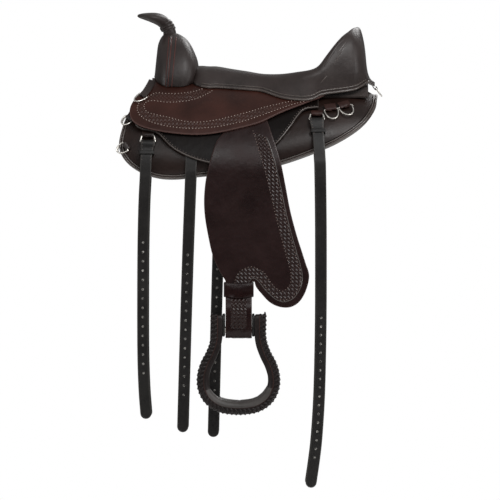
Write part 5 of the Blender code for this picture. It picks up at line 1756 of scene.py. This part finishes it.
class SADDLE_OT_billets(bpy.types.Operator):
    """Cut the punched billets, their keepers, rings and tabs"""

    bl_idname = "saddle.billets"
    bl_label = "Billets"

    def execute(self, context):
        for name, (ring, rows, low_rows, *holes, keeper, sink, tab_cover) in RINGED_BILLETS.items():
            at = seat_frame(*ring, RING_OFF)
            place = punched_strap(name, billet_path(at, rows, low_rows), BILLET_THICKNESS, *holes)
            x, z, off = (value * MM for value in keeper)
            loop = loop_mesh(seat_frame(x, z, RING_OFF - FOLD_RADIUS), BILLET_WIDTH / 2 + KEEPER_SLACK,
                             -(off + BILLET_FOLD / 2 + KEEPER_LIFT), BILLET_FOLD / 2 + GAP,
                             KEEPER_HEIGHT, KEEPER_WALL)
            dress(name + "_keeper", loop, "billet keeper leather", name)
            margin, start, end = FOLD_SEAM
            seams = [[place(side * (BILLET_WIDTH / 2 - margin), float(v), FOLD_STITCHES)
                      for v in np.linspace(start, end, 12)] for side in (-1, 1)]
            sew(name + "_stitches", seams, "dark waxed thread", name)
            dress(name + "_ring", ring_mesh(at), "polished steel", name)
            tab = tab_mesh(at, RING_TAB_WIDTH, RING_WIRE + GAP + TAB_THICKNESS / 2, RING_TAB_LEG,
                           RING_TAB_LEG / 4, sink)
            dress(name + "_tab", tab, tab_cover)
        for name, (rows, low_rows, first_z) in GIRTH_BILLETS.items():
            path = [on_height(x * MM, z * MM, GIRTH_OFF + GIRTH_THICKNESS / 2) for x, z in rows]
            out = path[-1].y - 0.0006
            path += [Vector((x * MM, out, z * MM)) for x, z in low_rows]
            punched_strap(name, smooth([(*p, BILLET_WIDTH, GIRTH_THICKNESS) for p in path], 4),
                          GIRTH_THICKNESS, first_z, GIRTH_HOLES, HOLE_PITCH)
        return {"FINISHED"}


# Dees

UPPER_DEE = "front_dee_upper"
DEES = [
    # name, x, z, turn in degrees, width, height, long leg and short leg of the tab
    ("front_dee_middle", -250.5, -46.5, 42, 24, 23, 11, 5),
    ("front_dee_lower", -258.5, -106.0, 58, 24, 22, 11, 5),
    ("rear_dee_front", 171.5, -28.0, -12, 32, 30, 17, 15),
    ("rear_dee_back", 201.0, -21.5, -22, 32, 30, 15, 14),
    (UPPER_DEE, -221.0, 1.5, 40, 24, 28, 11, 5),
]
DEE_TAB_SINK = 0.0085
# The long tab up the jockey to the fork's foot: x, z and how far off the jockey it lies
UPPER_TAB = ((-215.0, 10.0, 4.2), (-210.0, 18.0, 2.2), (-205.5, 26.0, 1.3), (-202.0, 33.0, 1.2))
TAIL_PIVOT = (0.2665, 0.0, 0.0165)
TAIL_SLOPE = math.radians(-37.0)
TAIL_DEE = (0.0255, 0.0215)
TAIL_TAB_LEG = 0.0078


def dee_mesh(at, width, height):
    """A steel wire dee that hangs from its straight bar."""
    half, tall = (width - 2 * DEE_WIRE) / 2, height - DEE_WIRE
    wire = [Vector((half * c, 0.0, -tall * s**0.9)) for c, s in arc(0.0, math.pi, 24)]
    wire += [Vector((half * k / 4, 0.0, 0.0)) for k in range(-3, 4)]
    return tube([at @ p for p in wire], DEE_WIRE, 12, closed=True)


def dee_tab_width(width):
    return width - 4 * DEE_WIRE - 2 * GAP - 0.0015


def long_tab_mesh(at, width, radius):
    """The tab of the upper front dee: folded round its bar and laid up the jockey to the fork's foot."""
    across = (at.to_3x3() @ Vector((1.0, 0.0, 0.0))).normalized()
    fold = [(0.0, radius, 0.004), (0.0, radius, 0.0), *hairpin(radius), (0.0, -radius, 0.002)]
    path = [at @ Vector(p) for p in fold]
    path += [on_height(x * MM, z * MM, JOCKEY_OUT + off * MM) for x, z, off in UPPER_TAB]
    return tab_sheet(path, width, across)


class SADDLE_OT_dees(bpy.types.Operator):
    """Bend the steel dees and fold their leather tabs"""

    bl_idname = "saddle.dees"
    bl_label = "Dees"

    def execute(self, context):
        radius = DEE_WIRE + GAP + TAB_THICKNESS / 2
        for name, x, z, turn, *lengths in DEES:
            width, height, long_leg, short_leg = (value * MM for value in lengths)
            upper = name == UPPER_DEE
            off = (JOCKEY_OUT if upper else PANEL_OUT) + DEE_LIFT
            at = seat_frame(x * MM, z * MM, off, math.radians(turn))
            dress(name, dee_mesh(at, width, height), "polished steel", name)
            if upper:
                tab = long_tab_mesh(at, dee_tab_width(width), radius)
            else:
                tab = tab_mesh(at, dee_tab_width(width), radius, long_leg, short_leg, DEE_TAB_SINK)
            cover = "brown tab leather" if name.startswith("rear") else "padded seat leather"
            put_both(name + "_tab_looks", tab, cover)
        at = (Matrix.Translation(TAIL_PIVOT) @ Matrix.Rotation(math.pi / 2, 4, "Z")
              @ Matrix.Rotation(TAIL_SLOPE, 4, "X"))
        put("tail_dee_looks", dee_mesh(at, *TAIL_DEE), "polished steel", "tail_dee",
            "tail_dee")
        tab = tab_mesh(at, dee_tab_width(TAIL_DEE[0]), radius, TAIL_TAB_LEG, TAIL_TAB_LEG / 2, 0.0)
        put("tail_tab_looks", tab, "panel leather", node="tail_tab")
        return {"FINISHED"}


class SADDLE_OT_hidden_pieces(bpy.types.Operator):
    """Give the ground seat, stirrup bridge and boards their felt, leather and moulded finish"""

    bl_idname = "saddle.hidden_pieces"
    bl_label = "Ground seat and boards"

    def execute(self, context):
        for node, name in (("ground_seat", "wool felt"), ("stirrup_bridge", "billet keeper leather"),
                           ("pommel_arch", "moulded board"), ("cantle_board", "moulded board")):
            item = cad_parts[node]
            item.data.materials.clear()
            item.data.materials.append(finish(name))
        return {"FINISHED"}


# The stage

# The middle of the photograph, far off square to the saddle's left side, so that the view hardly tapers
CAMERA_PLACE = (0.0021, -48.0, -0.3226)
CAMERA_SENSOR = 36.0
SOFTBOXES = (
    # name, place, aim, width in metres and watts
    ("key softbox", (1.3, -2.2, 2.0), (0.0, 0.0, -0.2), 1.1, 48.0),
    ("front softbox", (-0.2, -2.7, 1.55), (0.0, 0.0, -0.2), 0.7, 8.0),
    ("left edge softbox", (-2.6, -1.3, 0.5), (0.0, 0.0, -0.3), 0.8, 14.0),
    ("right edge softbox", (2.7, -1.1, 0.7), (0.0, 0.0, -0.3), 0.8, 16.0),
    ("back softbox", (1.3, 2.4, 2.0), (0.0, 0.0, -0.2), 1.2, 38.0),
)
FILL_LEVEL = 0.42
# How bright reflections see the studio, from its walls at eye level to its ceiling
WALL_LEVEL = 0.10
CEILING_LEVEL = 0.45
FLOOR_RADIUS = 2.2
FLOOR_HEIGHTS = (-0.94, -0.92)


def place_camera(scene):
    """A long lens that takes in the photograph's width at the saddle's middle plane."""
    camera = bpy.data.cameras.new("camera")
    camera.sensor_width = CAMERA_SENSOR
    camera.lens = -CAMERA_SENSOR * CAMERA_PLACE[1] / PHOTO_WIDTH
    camera.clip_end = 100.0
    view = bpy.data.objects.new("camera", camera)
    view.location = CAMERA_PLACE
    view.rotation_euler = (math.pi / 2, 0.0, 0.0)
    scene.collection.objects.link(view)
    scene.camera = view


def light(scene):
    for name, spot, aim, wide, power in SOFTBOXES:
        lamp = bpy.data.lights.new(name, "AREA")
        lamp.shape = "SQUARE"
        lamp.size = wide
        lamp.energy = power
        item = bpy.data.objects.new(name, lamp)
        item.location = spot
        item.rotation_euler = (Vector(aim) - Vector(spot)).to_track_quat("-Z", "Y").to_euler()
        scene.collection.objects.link(item)


def studio_world():
    """White to the camera, plain fill light, and reflections that dim towards eye level."""
    world = bpy.data.worlds.new("studio")
    world.use_nodes = True
    tree = world.node_tree
    back = tree.nodes["Background"]
    rays = add(tree, "ShaderNodeLightPath").outputs
    seen = maths(tree, "MAXIMUM", rays["Is Camera Ray"], rays["Is Glossy Ray"])
    seen = maths(tree, "MAXIMUM", seen, rays["Is Transmission Ray"])
    level = ranged(tree, seen, 0.0, 1.0, FILL_LEVEL, 1.0)
    way = add(tree, "ShaderNodeSeparateXYZ", {0: add(tree, "ShaderNodeTexCoord").outputs["Generated"]})
    walls = ranged(tree, way.outputs["Z"], -0.1, 1.0, WALL_LEVEL, CEILING_LEVEL)
    dim = add(tree, "ShaderNodeMix", {0: rays["Is Glossy Ray"], 2: 1.0, 3: walls}, data_type="FLOAT")
    back.inputs["Color"].default_value = (1.0, 1.0, 1.0, 1.0)
    tree.links.new(maths(tree, "MULTIPLY", level, dim.outputs[0]), back.inputs["Strength"])
    return world


def studio_floor(scene):
    """A matt pale disc below the stirrups and billets."""
    ring = [Vector((FLOOR_RADIUS * c, FLOOR_RADIUS * s, 0.0)) for c, s in circle(64)]
    slab = loft([[p + Vector((0.0, 0.0, z)) for p in ring] for z in FLOOR_HEIGHTS], sharp=30.0)
    made, _, shader = new_material("matt studio floor")
    shader.inputs["Base Color"].default_value = (*scene.saddle_colours.floor, 1.0)
    shader.inputs["Roughness"].default_value = 0.9
    slab.materials.append(made)
    floor = bpy.data.objects.new("floor", slab)
    scene.collection.objects.link(floor)
    return floor


class SADDLE_OT_stage(bpy.types.Operator):
    """Set the camera, the studio lights and the pale floor"""

    bl_idname = "saddle.stage"
    bl_label = "Stage"

    def execute(self, context):
        scene = context.scene
        place_camera(scene)
        light(scene)
        scene.world = studio_world()
        studio_floor(scene)
        scene.view_settings.view_transform = "Standard"
        return {"FINISHED"}


STEPS = (
    SADDLE_OT_fork_and_horn, SADDLE_OT_seat, SADDLE_OT_panels, SADDLE_OT_skirts, SADDLE_OT_fenders,
    SADDLE_OT_stirrups, SADDLE_OT_billets, SADDLE_OT_dees, SADDLE_OT_hidden_pieces, SADDLE_OT_stage,
)


class SADDLE_PT_looks(bpy.types.Panel):
    """Lists the saddle's pieces, colours and sizes"""

    bl_idname = "SADDLE_PT_looks"
    bl_label = "Treeless saddle"
    bl_space_type = "VIEW_3D"
    bl_region_type = "UI"
    bl_category = "Saddle"

    def draw(self, context):
        for step in STEPS:
            self.layout.operator(step.bl_idname)
        for group in (context.scene.saddle_colours, context.scene.saddle_sizes):
            for name in group.bl_rna.properties.keys():
                if name not in ("rna_type", "name"):
                    self.layout.prop(group, name)


CLASSES = (SaddleColours, SaddleSizes, *STEPS, SADDLE_PT_looks)


def register():
    for item in CLASSES:
        bpy.utils.register_class(item)
    bpy.types.Scene.saddle_colours = bpy.props.PointerProperty(type=SaddleColours)
    bpy.types.Scene.saddle_sizes = bpy.props.PointerProperty(type=SaddleSizes)


def unregister():
    del bpy.types.Scene.saddle_sizes
    del bpy.types.Scene.saddle_colours
    for item in reversed(CLASSES):
        bpy.utils.unregister_class(item)


def main():
    register()
    bpy.ops.saddle.fork_and_horn()
    bpy.ops.saddle.seat()
    bpy.ops.saddle.panels()
    bpy.ops.saddle.skirts()
    bpy.ops.saddle.fenders()
    bpy.ops.saddle.stirrups()
    bpy.ops.saddle.billets()
    bpy.ops.saddle.dees()
    bpy.ops.saddle.hidden_pieces()
    bpy.ops.saddle.stage()


if __name__ == "__main__":
    main()
